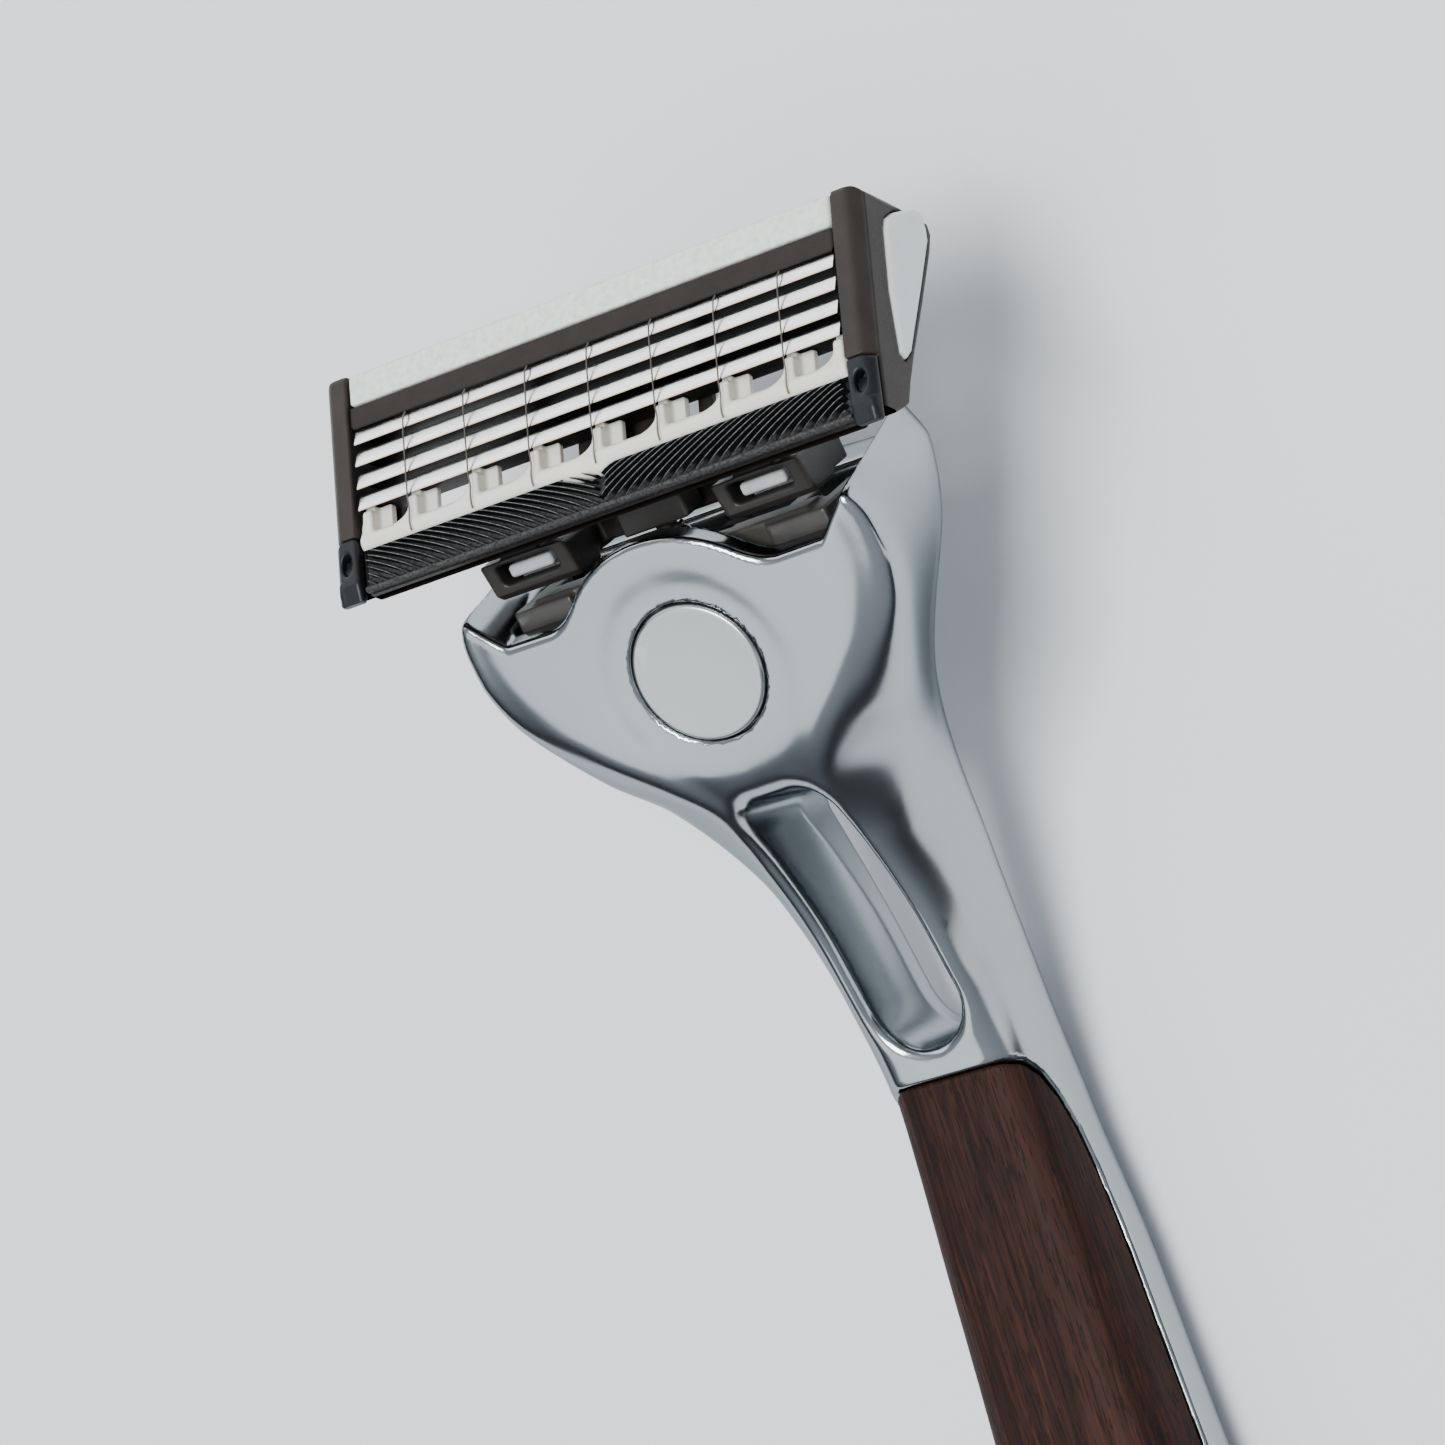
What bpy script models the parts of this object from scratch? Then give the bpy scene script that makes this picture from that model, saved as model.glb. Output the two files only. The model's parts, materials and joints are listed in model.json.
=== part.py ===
"""Cartridge razor with a cast metal handle, a wood inlay and a pivoting four-blade cartridge.

The razor lies on its back on the ground, face up: +X to the right of the blades, +Y from the handle's end
towards the blades, +Z up. Lengths below are in millimetres and angles in degrees; MM turns them into metres.
Three empties hold the pieces: razor_frame sits at the centre of the round release button, head_frame is
that point tilted to the button's face, and cartridge_pivot lies on the hinge line of the cartridge.
"""

import math

import bmesh
import bpy
from mathutils import Vector

MM = 0.001

# Where the button's centre is, from the middle of the whole razor's footprint.
BUTTON_Y = 46.88
BUTTON_Z = 23.355
HEAD_TILT = 14.1
FACE_TILT = -23.4

# Handle
HANDLE_END = -119.0
END_ROUNDING = 5.0
HEAD_TOP = 13.0
WOOD_TOP = -29.3
WOOD_END = -112.0
SPINE_FRONT = -18.5
WOOD_GAP = 0.08
PEG_PLACES = {"upper": -48, "lower": -94}
PEG_HOLE_RADIUS = 1.3
SLOT_HALF_WIDTH = 3.45
SLOT_TOP = -8.5
SLOT_END = -27.3
SLOT_WAIST_DEPTH = 6.0

# Lengthwise curves of the handle, each a list of (y, value) for one feature of its cross-section.
FRONT_LINE = [(13, 3.27), (5, 1.26), (0, 0), (-5, -1.4), (-9.1, -3.9), (-13, -6.8), (-18, -9.7),
              (-23, -11.6), (-27, -12.9), (-31, -13.5), (-45, -13.4), (-80, -13.0), (-119, -13.6)]
CREASE_HALF_WIDTH = [(13, 9.0), (9.5, 11.8), (7, 13.5), (5, 13.9), (0, 12.5), (-3.3, 9.8), (-6.6, 6.7), (-9.5, 4.6),
                     (-14, 4.1), (-23, 4.0), (-31, 3.9), (-45, 4.3), (-80, 5.2), (-119, 4.9)]
SHOULDER_HALF_WIDTH = [(13, 10.2), (9.8, 13.3), (8.2, 14.8), (6.5, 15.7), (4.5, 15.9), (2.8, 15.8), (0, 14.8),
                       (-4.9, 11.6), (-7.8, 9.2), (-13.4, 6.4), (-18, 5.9), (-23, 5.7), (-31, 5.4), (-45, 6.0),
                       (-80, 7.3), (-119, 6.9)]
SHOULDER_LINE = [(13, 1.4), (5, -0.7), (0, -2.2), (-4.9, -4.6), (-7.8, -6.8), (-13.4, -9.6), (-18, -12.1),
                 (-23, -14.1), (-31, -15.6), (-45, -15.6), (-80, -15.4), (-119, -15.8)]
FLANK_HALF_WIDTH = [(13, 14.4), (9.5, 15.7), (5, 15.0), (0, 12.8), (-5, 10.2), (-10, 8.6), (-16, 7.5),
                    (-22, 6.7), (-28, 6.05), (-34, 5.8), (-45, 6.6), (-80, 8.0), (-119, 7.5)]
FLANK_LINE = [(13, -8.0), (5, -8.6), (0, -8.5), (-5, -10.0), (-10, -12.3), (-16, -14.8), (-22, -16.9),
              (-28, -18.7), (-34, -20.0), (-45, -20.4), (-119, -20.4)]
BACK_LINE = [(13, -11.0), (5, -11.2), (-1.3, -11.6), (-7, -13.9), (-16, -17.6), (-28, -21.5), (-35, -22.9),
             (-42, -23.3), (-119, -23.3)]

# Head: b runs up along the head, n out of the button's face.
FRONT_WALL = 1.9
CAVITY_HALF_WIDTH = 12.4
DEEP_HALF_WIDTH = 12.25
CAVITY_BACK = -10.2
LOBE_RADIUS = 9.2
POCKET_FLOOR = 5.4
EAR_RISE_OUTWARD = 0.93
EAR_RISE_BACKWARD = 0.2
BUTTON_RADIUS = 4.55
BUTTON_GAP = 0.12
STEM_RADIUS = 1.6
STEM_END = -6.2
SCREW_B = 3.9
EAR_WALL = 18.0
PLUNGER_N = -4.4

# Cartridge: down is measured from the strip's top edge towards the guard, deep from the shaving face.
PIVOT_B = 12.33
PIVOT_N = -2.70
PIVOT_DOWN = 12.2
PIVOT_DEEP = 3.6
HALF_WINDOW = 18.95
CAP_INNER = 19.05
CAP_OUTER = 21.0
BLADE_EDGES = [4.88, 6.38, 7.93, 9.41]
BLADE_THICKNESS = 0.12
WIRE_PITCH = 4.89
WIRE_COUNT = 7
WIRE_RADIUS = 0.06
BLOCK_INNER = 5.7
BLOCK_OUTER = 12.4
BLOCK_BOTTOM = 8.35
BLOCK_FRONT_BOTTOM = 7.95
BLOCK_TOP = 10.6
ARM_INNER = 7.6
ARM_OUTER = 10.6
PIN_RADIUS = 0.5

COLOURS = {
    "chrome": ((0.72, 0.74, 0.75), 0.22, 1.0),
    "wood": ((0.10, 0.035, 0.022), 0.55, 0.0),
    "steel": ((0.78, 0.78, 0.76), 0.25, 1.0),
    "housing": ((0.075, 0.058, 0.05), 0.5, 0.0),
    "carrier": ((0.07, 0.06, 0.056), 0.5, 0.0),
    "white": ((0.82, 0.84, 0.85), 0.3, 0.0),
    "ivory": ((0.80, 0.77, 0.68), 0.32, 0.0),
    "strip": ((0.80, 0.84, 0.80), 0.45, 0.0),
    "rubber": ((0.012, 0.012, 0.013), 0.6, 0.0),
    "slate": ((0.03, 0.034, 0.04), 0.5, 0.0),
    "brass": ((0.72, 0.55, 0.28), 0.35, 1.0),
}


def clear_scene():
    for obj in list(bpy.data.objects):
        bpy.data.objects.remove(obj)


def material(name):
    """A plain material with the colour, roughness and metallic value of one of the razor's substances."""
    found = bpy.data.materials.get(name)
    if found:
        return found
    colour, roughness, metallic = COLOURS[name]
    made = bpy.data.materials.new(name)
    made.use_nodes = True
    shader = made.node_tree.nodes["Principled BSDF"]
    shader.inputs["Base Color"].default_value = (*colour, 1)
    shader.inputs["Roughness"].default_value = roughness
    shader.inputs["Metallic"].default_value = metallic
    return made


def frame(name, parent, place, tilt):
    empty = bpy.data.objects.new(name, None)
    empty.parent = parent
    empty.location = Vector(place) * MM
    empty.rotation_euler.x = math.radians(tilt)
    bpy.context.scene.collection.objects.link(empty)
    return empty


def solid(name, shape, parent, substance=None):
    """A mesh object from (points, faces) in millimetres, its faces turned outwards."""
    points, faces = shape
    mesh = bpy.data.meshes.new(name)
    mesh.from_pydata([Vector(point) * MM for point in points], [], faces)
    work = bmesh.new()
    work.from_mesh(mesh)
    bmesh.ops.recalc_face_normals(work, faces=work.faces)
    work.to_mesh(mesh)
    work.free()
    obj = bpy.data.objects.new(name, mesh)
    obj.parent = parent
    bpy.context.scene.collection.objects.link(obj)
    if substance:
        mesh.materials.append(material(substance))
        mesh.shade_smooth()
        mesh.set_sharp_from_angle(angle=math.radians(35))
    return obj


def combine(base, shape, operation, parent=None, cut=None):
    """Adds, cuts or intersects a shape that itself stays out of the model. cut is taken from it first."""
    name = f"{base.name}.{operation.lower()}{len(base.modifiers)}"
    helper = solid(name, shape, parent or base.parent)
    helper.hide_render = True
    helper.display_type = "WIRE"
    if cut:
        combine(helper, cut, "DIFFERENCE")
    modifier = base.modifiers.new(operation.lower(), "BOOLEAN")
    modifier.operation = operation
    modifier.solver = "EXACT"
    modifier.object = helper
    return base


def add(base, shape, parent=None):
    return combine(base, shape, "UNION", parent)


def cut(base, shape, parent=None):
    return combine(base, shape, "DIFFERENCE", parent)


def soften(obj, width, segments=2):
    """Rounds the sharp edges of a piece."""
    bevel = obj.modifiers.new("rounding", "BEVEL")
    bevel.width = width * MM
    bevel.segments = segments
    bevel.limit_method = "ANGLE"
    bevel.angle_limit = math.radians(40)
    return obj


def layers(rings, closed_ends=True):
    """Faces between equal rings of points, with an end face on the first and the last."""
    count = len(rings[0])
    points = [point for ring in rings for point in ring]
    faces = []
    for level in range(len(rings) - 1):
        for i in range(count):
            j = (i + 1) % count
            low = level * count
            faces.append((low + i, low + j, low + count + j, low + count + i))
    if closed_ends:
        faces.append(tuple(range(count)))
        faces.append(tuple(range((len(rings) - 1) * count, len(rings) * count)))
    return points, faces


def prism_x(outline, x0, x1):
    return layers([[(x, y, z) for y, z in outline] for x in (x0, x1)])


def prism_z(outline, z0, z1, shear=0.0):
    """An outline in X and Y carried along Z, moved up along Y by shear for each step down in Z."""
    return layers([[(x, y - shear * z, z) for x, y in outline] for z in (z0, z1)])


def box(low, high):
    (x0, y0, z0), (x1, y1, z1) = low, high
    return prism_x([(y0, z0), (y1, z0), (y1, z1), (y0, z1)], x0, x1)


def circle(centre, radius, sides, start=0.0, turn=360.0):
    """Points along an arc; a full turn leaves out the repeated last point."""
    steps = sides if turn == 360.0 else sides - 1
    angles = [math.radians(start + turn * i / steps) for i in range(sides)]
    return [(centre[0] + radius * math.cos(a), centre[1] + radius * math.sin(a)) for a in angles]


def turned(profile, sides=32):
    """A solid of revolution about Z from (radius, z) steps; it starts and ends with flat faces."""
    return layers([[(x, y, z) for x, y in circle((0, 0), r, sides)] for r, z in profile])


def rod_x(centre, radius, x0, x1, sides=16):
    return prism_x(circle(centre, radius, sides), x0, x1)


def rod_y(centre, radius, y0, y1, sides=16):
    """A rod along Y whose centre is given as (x, z)."""
    return layers([[(x, y, z) for x, z in circle(centre, radius, sides)] for y in (y0, y1)])


def moved(shape, offset):
    points, faces = shape
    return [tuple(Vector(point) + Vector(offset)) for point in points], faces


def coil(radius, wire, length, turns, sides=6, steps=14):
    """A helical spring of round wire about Z, from z = 0 to z = length."""
    rise = (length - 2 * wire) / turns
    rings = []
    for i in range(turns * steps + 1):
        angle = 2 * math.pi * i / steps
        out = Vector((math.cos(angle), math.sin(angle), 0))
        centre = out * radius + Vector((0, 0, wire + rise * i / steps))
        rings.append([tuple(centre + out * a + Vector((0, 0, b))) for a, b in circle((0, 0), wire, sides)])
    return layers(rings)


def along_y(shape):
    """Turns a shape made along Z so that it runs along Y."""
    points, faces = shape
    return [(x, z, -y) for x, y, z in points], faces


def value_at(curve, y):
    """Reads a lengthwise curve at y, smoothly, through all of its points."""
    curve = sorted(curve)
    if y <= curve[0][0]:
        return curve[0][1]
    if y >= curve[-1][0]:
        return curve[-1][1]
    i = max(k for k in range(len(curve) - 1) if curve[k][0] <= y)
    slopes = []
    for k in (i, i + 1):
        before = curve[max(k - 1, 0)]
        after = curve[min(k + 1, len(curve) - 1)]
        turns = (after[1] - curve[k][1]) * (curve[k][1] - before[1]) <= 0
        slopes.append(0 if turns else (after[1] - before[1]) / (after[0] - before[0]))
    (y0, v0), (y1, v1) = curve[i], curve[i + 1]
    span = y1 - y0
    t = (y - y0) / span
    start = (2 * t**3 - 3 * t**2 + 1) * v0 + (t**3 - 2 * t**2 + t) * span * slopes[0]
    end = (3 * t**2 - 2 * t**3) * v1 + (t**3 - t**2) * span * slopes[1]
    return start + end


def half_section(y):
    """Right half of the handle's cross-section at y, from the middle of the front to the middle of the back."""
    front = value_at(FRONT_LINE, y)
    back = value_at(BACK_LINE, y)
    crease = value_at(CREASE_HALF_WIDTH, y)
    shoulder = (value_at(SHOULDER_HALF_WIDTH, y), value_at(SHOULDER_LINE, y))
    flank = (value_at(FLANK_HALF_WIDTH, y), value_at(FLANK_LINE, y))
    heel = (flank[0] - 1.1, back + 0.75)
    return [(0, front), (crease * 0.5, front), (crease, front - 0.35), shoulder, flank, heel,
            (flank[0] * 0.6, back), (flank[0] * 0.3, back), (0, back)]


def smooth_through(points, steps):
    """Catmull-Rom curve through the points, steps to each span, without the last point."""
    ends = [points[0], *points, points[-1]]
    curve = []
    for i in range(len(points) - 1):
        p0, p1, p2, p3 = (Vector(ends[i + k]) for k in range(4))
        for step in range(steps):
            t = step / steps
            curve.append(0.5 * (2 * p1 + (p2 - p0) * t + (2 * p0 - 5 * p1 + 4 * p2 - p3) * t**2
                                + (3 * p1 - p0 - 3 * p2 + p3) * t**3))
    return curve


def handle_ring(y, inset=0.0, steps=3):
    """The handle's whole outline at y; inset moves its sides inwards."""
    right = smooth_through(half_section(y), steps)
    right.append(Vector((0, value_at(BACK_LINE, y))))
    ring = [*right, *(Vector((-p.x, p.y)) for p in reversed(right[1:-1]))]
    middle = (value_at(FRONT_LINE, y) + value_at(BACK_LINE, y)) / 2
    half_height = middle - value_at(BACK_LINE, y)
    width = value_at(FLANK_HALF_WIDTH, y)
    past_end = max(0.0, HANDLE_END + END_ROUNDING - y) / END_ROUNDING
    shrink = math.sqrt(max(1 - past_end**2, 0.12))
    across = shrink * (1 - inset / width)
    upright = shrink * (1 - inset / half_height)
    return [(p.x * across, y, middle + (p.y - middle) * upright) for p in ring]


def handle_loft(y0, y1, inset=0.0, spacing=2.4):
    count = math.ceil((y1 - y0) / spacing)
    stations = [y0 + (y1 - y0) * i / count for i in range(count + 1)]
    if y0 == HANDLE_END:
        rounding = [HANDLE_END + END_ROUNDING * t for t in (0, 0.04, 0.15, 0.32, 0.55, 0.8)]
        stations = rounding + [y for y in stations if y > rounding[-1] + 1]
    return layers([handle_ring(y, inset) for y in stations])


def wood_outline(gap):
    """Side outline of the bed of the wood in Y and Z; gap shrinks it for the wood itself."""
    top = WOOD_TOP - gap
    end = WOOD_END + gap
    floor = SPINE_FRONT + gap
    return [(top, 5), (top, -14.0), (top - 0.5, -15.1), (top - 1.6, -16.2 + gap), (top - 3.4, -17.2 + gap),
            (top - 5.7, -18.0 + gap), (top - 8.5, -18.4 + gap), (top - 12, floor), (end + 9, floor),
            (end + 5, -17.9 + gap), (end + 2, -16.4 + gap), (end + 0.4, -14.4), (end, 5)]


def slot_shape():
    """The opening through the neck: straight-sided, with a waist where the two halves of the mould met."""
    half, corner = SLOT_HALF_WIDTH, 2.2
    centre_y = (SLOT_TOP + SLOT_END) / 2
    outline = circle((half - corner, SLOT_TOP - corner), corner, 6, 0, 90)
    outline += circle((-half + corner, SLOT_TOP - corner), corner, 6, 90, 90)
    outline += circle((0, SLOT_END + half), half, 11, 180, 180)
    rings = []
    for below, narrower in ((-8, -0.9), (0, 0.05), (SLOT_WAIST_DEPTH, 1.1), (9, 0.75), (16, 0.4)):
        wide = 1 - narrower / half
        tall = 1 - narrower / (SLOT_TOP - SLOT_END)
        rings.append([(x * wide, centre_y + (y - centre_y) * tall, value_at(FRONT_LINE, y) - below)
                      for x, y in outline])
    return layers(rings)


def head_cavity():
    """Plan outline of the hollow in the head."""
    wide, low, narrow = CAVITY_HALF_WIDTH, -5.3, 7.6
    return [(wide, 30), (-wide, 30), (-wide, 4.6), (-narrow, low), (narrow, low), (wide, 4.6)]


def make_handle(razor, head):
    body = solid("handle_body", handle_loft(HANDLE_END, HEAD_TOP), razor, "chrome")
    cut(body, prism_x(wood_outline(0), -20, 20))
    cut(body, slot_shape())
    cut(body, prism_z(head_cavity(), -7.6, -FRONT_WALL), head)
    cut(body, box((-DEEP_HALF_WIDTH, 1.4, CAVITY_BACK), (DEEP_HALF_WIDTH, 29, -5.2)), head)
    corner = CAVITY_HALF_WIDTH - 0.15
    ear_foot = POCKET_FLOOR + (EAR_WALL - corner) * EAR_RISE_OUTWARD
    trough = [(-EAR_WALL, ear_foot), (-corner, POCKET_FLOOR), (corner, POCKET_FLOOR),
              (EAR_WALL, ear_foot), (EAR_WALL, 40), (-EAR_WALL, 40)]
    lobe = prism_z(circle((0, 0), LOBE_RADIUS, 64), -FRONT_WALL - 1, 20)
    combine(body, prism_z(trough, 8, -18, EAR_RISE_BACKWARD), "DIFFERENCE", head, cut=lobe)
    cut(body, prism_z(circle((0, 0), BUTTON_RADIUS + BUTTON_GAP, 40), -3, 3), head)
    screw_well = turned([(2.2, -20), (2.2, -11.2), (1.15, -11.2), (1.15, -9)], 24)
    cut(body, moved(screw_well, (0, SCREW_B, 0)), head)
    for y in PEG_PLACES.values():
        cut(body, moved(turned([(PEG_HOLE_RADIUS, -21), (PEG_HOLE_RADIUS, -10)], 20), (0, y, 0)))

    wood_body = handle_loft(WOOD_END - 4, WOOD_TOP + 4, inset=0.16, spacing=3.2)
    wood = solid("wood_inlay", wood_body, razor, "wood")
    combine(wood, prism_x(wood_outline(WOOD_GAP), -20, 20), "INTERSECT")
    for name, y in PEG_PLACES.items():
        cut(wood, moved(turned([(PEG_HOLE_RADIUS, -30), (PEG_HOLE_RADIUS, -15.9)], 20), (0, y, 0)))
        peg = turned([(1.0, -20.8), (1.2, -20.5), (1.2, -16.3), (1.0, -16.0)], 20)
        solid(f"inlay_peg_{name}", moved(peg, (0, y, 0)), razor, "brass")
    return body


def make_mechanism(head):
    """Release button, its spring and the plate that pushes the cartridge off, held by a plastic chassis."""
    profile = [(STEM_RADIUS - 0.6, STEM_END), (STEM_RADIUS, STEM_END + 0.8), (STEM_RADIUS, -2.7),
               (BUTTON_RADIUS + 0.35, -2.7), (BUTTON_RADIUS + 0.35, -2.15), (BUTTON_RADIUS, -2.15),
               (BUTTON_RADIUS, -0.22), (BUTTON_RADIUS - 0.12, -0.1)]
    solid("release_button", turned(profile, 40), head, "chrome")
    solid("button_spring", moved(coil(2.4, 0.22, 2.3, 3), (0, 0, -5.1)), head, "steel")

    chassis = solid("head_chassis", box((-7.8, -4.2, -6.2), (7.8, 5.2, -5.3)), head, "carrier")
    for side in (-1, 1):
        lug = [(side * 7.6, 1.8), (side * 10.3, 1.8), (side * 12.1, 5.0), (side * 12.1, 6.9), (side * 7.6, 6.9)]
        add(chassis, prism_z(lug, -8.7, -2.4))
        cut(chassis, box((side * 9.8 - 1.1, 6.2, -9), (side * 9.8 + 1.1, 8, -3.4)))
        shelf = [(side * 4.2, 5.0), (side * 11.5, 5.0), (side * 11.5, 6.2), (side * 10.6, 7.15), (side * 4.2, 7.15)]
        add(chassis, prism_z(shelf, -5.2, -3.5))
    add(chassis, box((-8.0, 2.2, -8.7), (8.0, 5.8, -7.6)))
    add(chassis, moved(turned([(2.2, -10.0), (2.2, -8.6)], 20), (0, SCREW_B, 0)))
    add(chassis, box((-3.0, 4.3, -5.8), (3.0, 5.25, -3.95)))
    cut(chassis, turned([(1.9, -7), (1.9, -4)], 24))
    cut(chassis, rod_y((0, PLUNGER_N), 0.9, 3.0, 6.0))
    cut(chassis, moved(turned([(1.0, -10.5), (1.0, -7.0)], 20), (0, SCREW_B, 0)))

    screw = solid("chassis_screw", moved(turned([(1.9, -12.2), (2.05, -12.05), (2.05, -11.35), (0.9, -11.35),
                                                 (0.9, -8.1), (0.6, -7.8)], 24), (0, SCREW_B, 0)), head, "steel")
    cut(screw, moved(prism_z(circle((0, 0), 0.85, 6), -13, -11.8), (0, SCREW_B, 0)))

    ejector = solid("ejector_plate", box((-7.2, -4.4, -7.35), (7.2, 6.6, -6.45)), head, "carrier")
    cut(ejector, box((-2.3, -3.4, -9), (2.3, 2.9, -5)))


def make_plunger(head):
    """Sprung tongue that pushes the back of the cartridge so that it swings forward to its stop."""
    nose = circle((12.4, PLUNGER_N), 1.15, 9, -90, 180)
    low, high = PLUNGER_N - 1.15, PLUNGER_N + 1.15
    tongue = solid("plunger", prism_x([(8.95, low), *nose, (8.95, high)], -2.6, 2.6), head, "carrier")
    add(tongue, rod_y((0, PLUNGER_N), 0.7, 5.5, 9.5))
    spring = coil(1.15, 0.2, 3.4, 4)
    solid("plunger_spring", moved(along_y(spring), (0, 5.35, PLUNGER_N)), head, "steel")


def make_carrier(head):
    """Yoke between the handle and the cartridge: two windowed blocks, their arms and a cross bar."""
    bar = box((-7, 8.6, -7.4), (7, 10.4, -5.95))
    carrier = solid("carrier", bar, head, "carrier")
    for side in (-1, 1):
        inner, outer = sorted((side * BLOCK_INNER, side * BLOCK_OUTER))
        middle = (inner + outer) / 2
        block = [(BLOCK_FRONT_BOTTOM, -2.0), (BLOCK_TOP, -1.5), (BLOCK_TOP, -7.4), (BLOCK_BOTTOM, -7.4),
                 (BLOCK_BOTTOM, -5.2), (BLOCK_FRONT_BOTTOM, -5.0)]
        add(carrier, prism_x(block, inner, outer))
        arm_low, arm_high = sorted((side * ARM_INNER, side * ARM_OUTER))
        head_end = circle((PIVOT_B, PIVOT_N), 1.5, 13, -90, 180)
        arm = [(BLOCK_BOTTOM + 1, -4.2), *head_end, (BLOCK_BOTTOM + 1, -1.95)]
        add(carrier, prism_x(arm, arm_low, arm_high))
        cut(carrier, box((middle - 1.85, 9.0, -5), (middle + 1.85, 10.15, 0)))
        cut(carrier, box((middle - 1.85, 7, -6.1), (middle + 1.85, 10.15, -3.2)))
        cut(carrier, rod_x((PIVOT_B, PIVOT_N), PIN_RADIUS + 0.05, arm_low - 1, arm_high + 1))
        hand = "left" if side < 0 else "right"
        catch = [(8.6, -5.9), (10.0, -5.9), (10.0, -2.1), (9.15, -2.1), (9.15, -3.4), (8.6, -3.4)]
        solid(f"catch_{hand}", prism_x(catch, middle - 1.7, middle + 1.7), head, "white")
        pin_low, pin_high = sorted((side * 6.1, side * 12.1))
        solid(f"pivot_pin_{hand}", rod_x((PIVOT_B, PIVOT_N), PIN_RADIUS, pin_low, pin_high), head, "steel")


def face(outline):
    """(down, deep) points as the cartridge frame's (Y, Z)."""
    return [(PIVOT_DOWN - down, PIVOT_DEEP - deep) for down, deep in outline]


def across(outline, x0, x1):
    return prism_x(face(outline), x0, x1)


def make_housing(cartridge):
    """Moulded frame around the blades, with bearing lugs behind its lower rail."""
    top_rail = [(2.25, 0.05), (3.85, 0.05), (3.78, 0.2), (3.45, 0.32), (3.45, 3.2), (3.3, 4.4), (-0.1, 4.4),
                (-0.1, 1.85), (2.25, 1.85)]
    housing = solid("cartridge_housing", across(top_rail, -HALF_WINDOW, HALF_WINDOW), cartridge, "housing")
    low_rail = [(11.6, 2.1), (12.2, 1.35), (14.9, 1.35), (14.9, 0.85), (15.3, 0.95), (15.3, 1.7), (13.6, 3.0),
                (11.6, 3.0)]
    add(housing, across(low_rail, -HALF_WINDOW, HALF_WINDOW))
    rib = [(3.0, 3.15), (10.2, 3.15), (12.5, 2.6), (12.5, 3.0), (11.6, 3.5), (3.0, 4.35)]
    for x in (-18.3, -6.4, 6.4, 18.3):
        add(housing, across(rib, x - 0.55, x + 0.55))
    add(housing, across([(7.4, 3.15), (10.2, 3.15), (11.6, 2.5), (12.0, 2.9), (11.2, 3.57), (7.4, 3.57)], -3.5, 3.5))
    add(housing, across([(6.9, 3.15), (7.9, 3.15), (7.9, 3.57), (6.9, 3.57)], -18.5, 18.5))
    lug = [(11.0, 2.6), (13.3, 2.6), *circle((PIVOT_DOWN, PIVOT_DEEP), 1.45, 9, 0, 180)]
    for side in (-1, 1):
        for near, far in ((6.2, 7.3), (10.9, 12.0)):
            add(housing, across(lug, *sorted((side * near, side * far))))
        notch = sorted((side * (ARM_INNER - 0.25), side * (ARM_OUTER + 0.25)))
        cut(housing, rod_x((0, 0), 1.78, *notch, 24))
        cut(housing, rod_x((0, 0), PIN_RADIUS + 0.06, *sorted((side * 5.8, side * 12.4))))


def make_blades(cartridge):
    for number, edge in enumerate(BLADE_EDGES, 1):
        blade = [(edge, 0.06), (edge - 1.3, 0.5), (edge - 1.34, 0.5 + BLADE_THICKNESS), (edge - 0.25, 0.26)]
        solid(f"blade_{number}", across(blade, -18.75, 18.75), cartridge, "steel")
        bent = [(edge - 1.3, 0.68), (edge - 0.62, 0.46), (edge - 0.5, 0.6), (edge - 0.62, 2.9),
                (edge - 0.8, 2.9), (edge - 0.7, 0.68), (edge - 1.28, 0.84)]
        solid(f"blade_support_{number}", across(bent, -18.6, 18.6), cartridge, "steel")
    for number in range(WIRE_COUNT):
        x = (number - WIRE_COUNT // 2) * WIRE_PITCH
        wire = prism_z(circle((0, 0), WIRE_RADIUS, 6), 0, 9.1)
        placed = moved(along_y(wire), (x, PIVOT_DOWN - 11.6, PIVOT_DEEP + WIRE_RADIUS + 0.01))
        solid(f"wire_{number + 1}", placed, cartridge, "steel")


def make_guards(cartridge):
    """Ivory comb under the last blade and the black rubber guard below it."""
    bar = [(11.1, 0.12), (11.9, 0.2), (11.9, 1.15), (12.1, 1.15), (11.5, 2.0), (10.9, 2.0)]
    comb = solid("guard_bar", across(bar, -HALF_WINDOW + 0.05, HALF_WINDOW - 0.05), cartridge, "ivory")
    post = [(9.62, 0.3), (10.0, 0.12), (11.3, 0.12), (11.3, 1.9), (9.62, 1.9)]
    for number in range(-1, WIRE_COUNT + 1):
        x = (number - WIRE_COUNT // 2) * WIRE_PITCH
        x = max(-HALF_WINDOW + 0.6, min(HALF_WINDOW - 0.6, x))
        add(comb, across(post, x - 0.5, x + 0.5))
    rubber = [(12.0, 0.12), (12.4, 0.02), (14.2, 0.08), (14.8, 0.3), (14.8, 1.25), (12.25, 1.25), (12.0, 1.0)]
    solid("rubber_guard", across(rubber, -HALF_WINDOW + 0.1, HALF_WINDOW - 0.1), cartridge, "rubber")
    strip = [(-0.1, 0.35), (0.2, -0.02), (2.1, -0.02), (2.18, 0.1), (2.18, 1.75), (-0.1, 1.75)]
    solid("lubricating_strip", across(strip, -HALF_WINDOW + 0.05, HALF_WINDOW - 0.05), cartridge, "strip")


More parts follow.
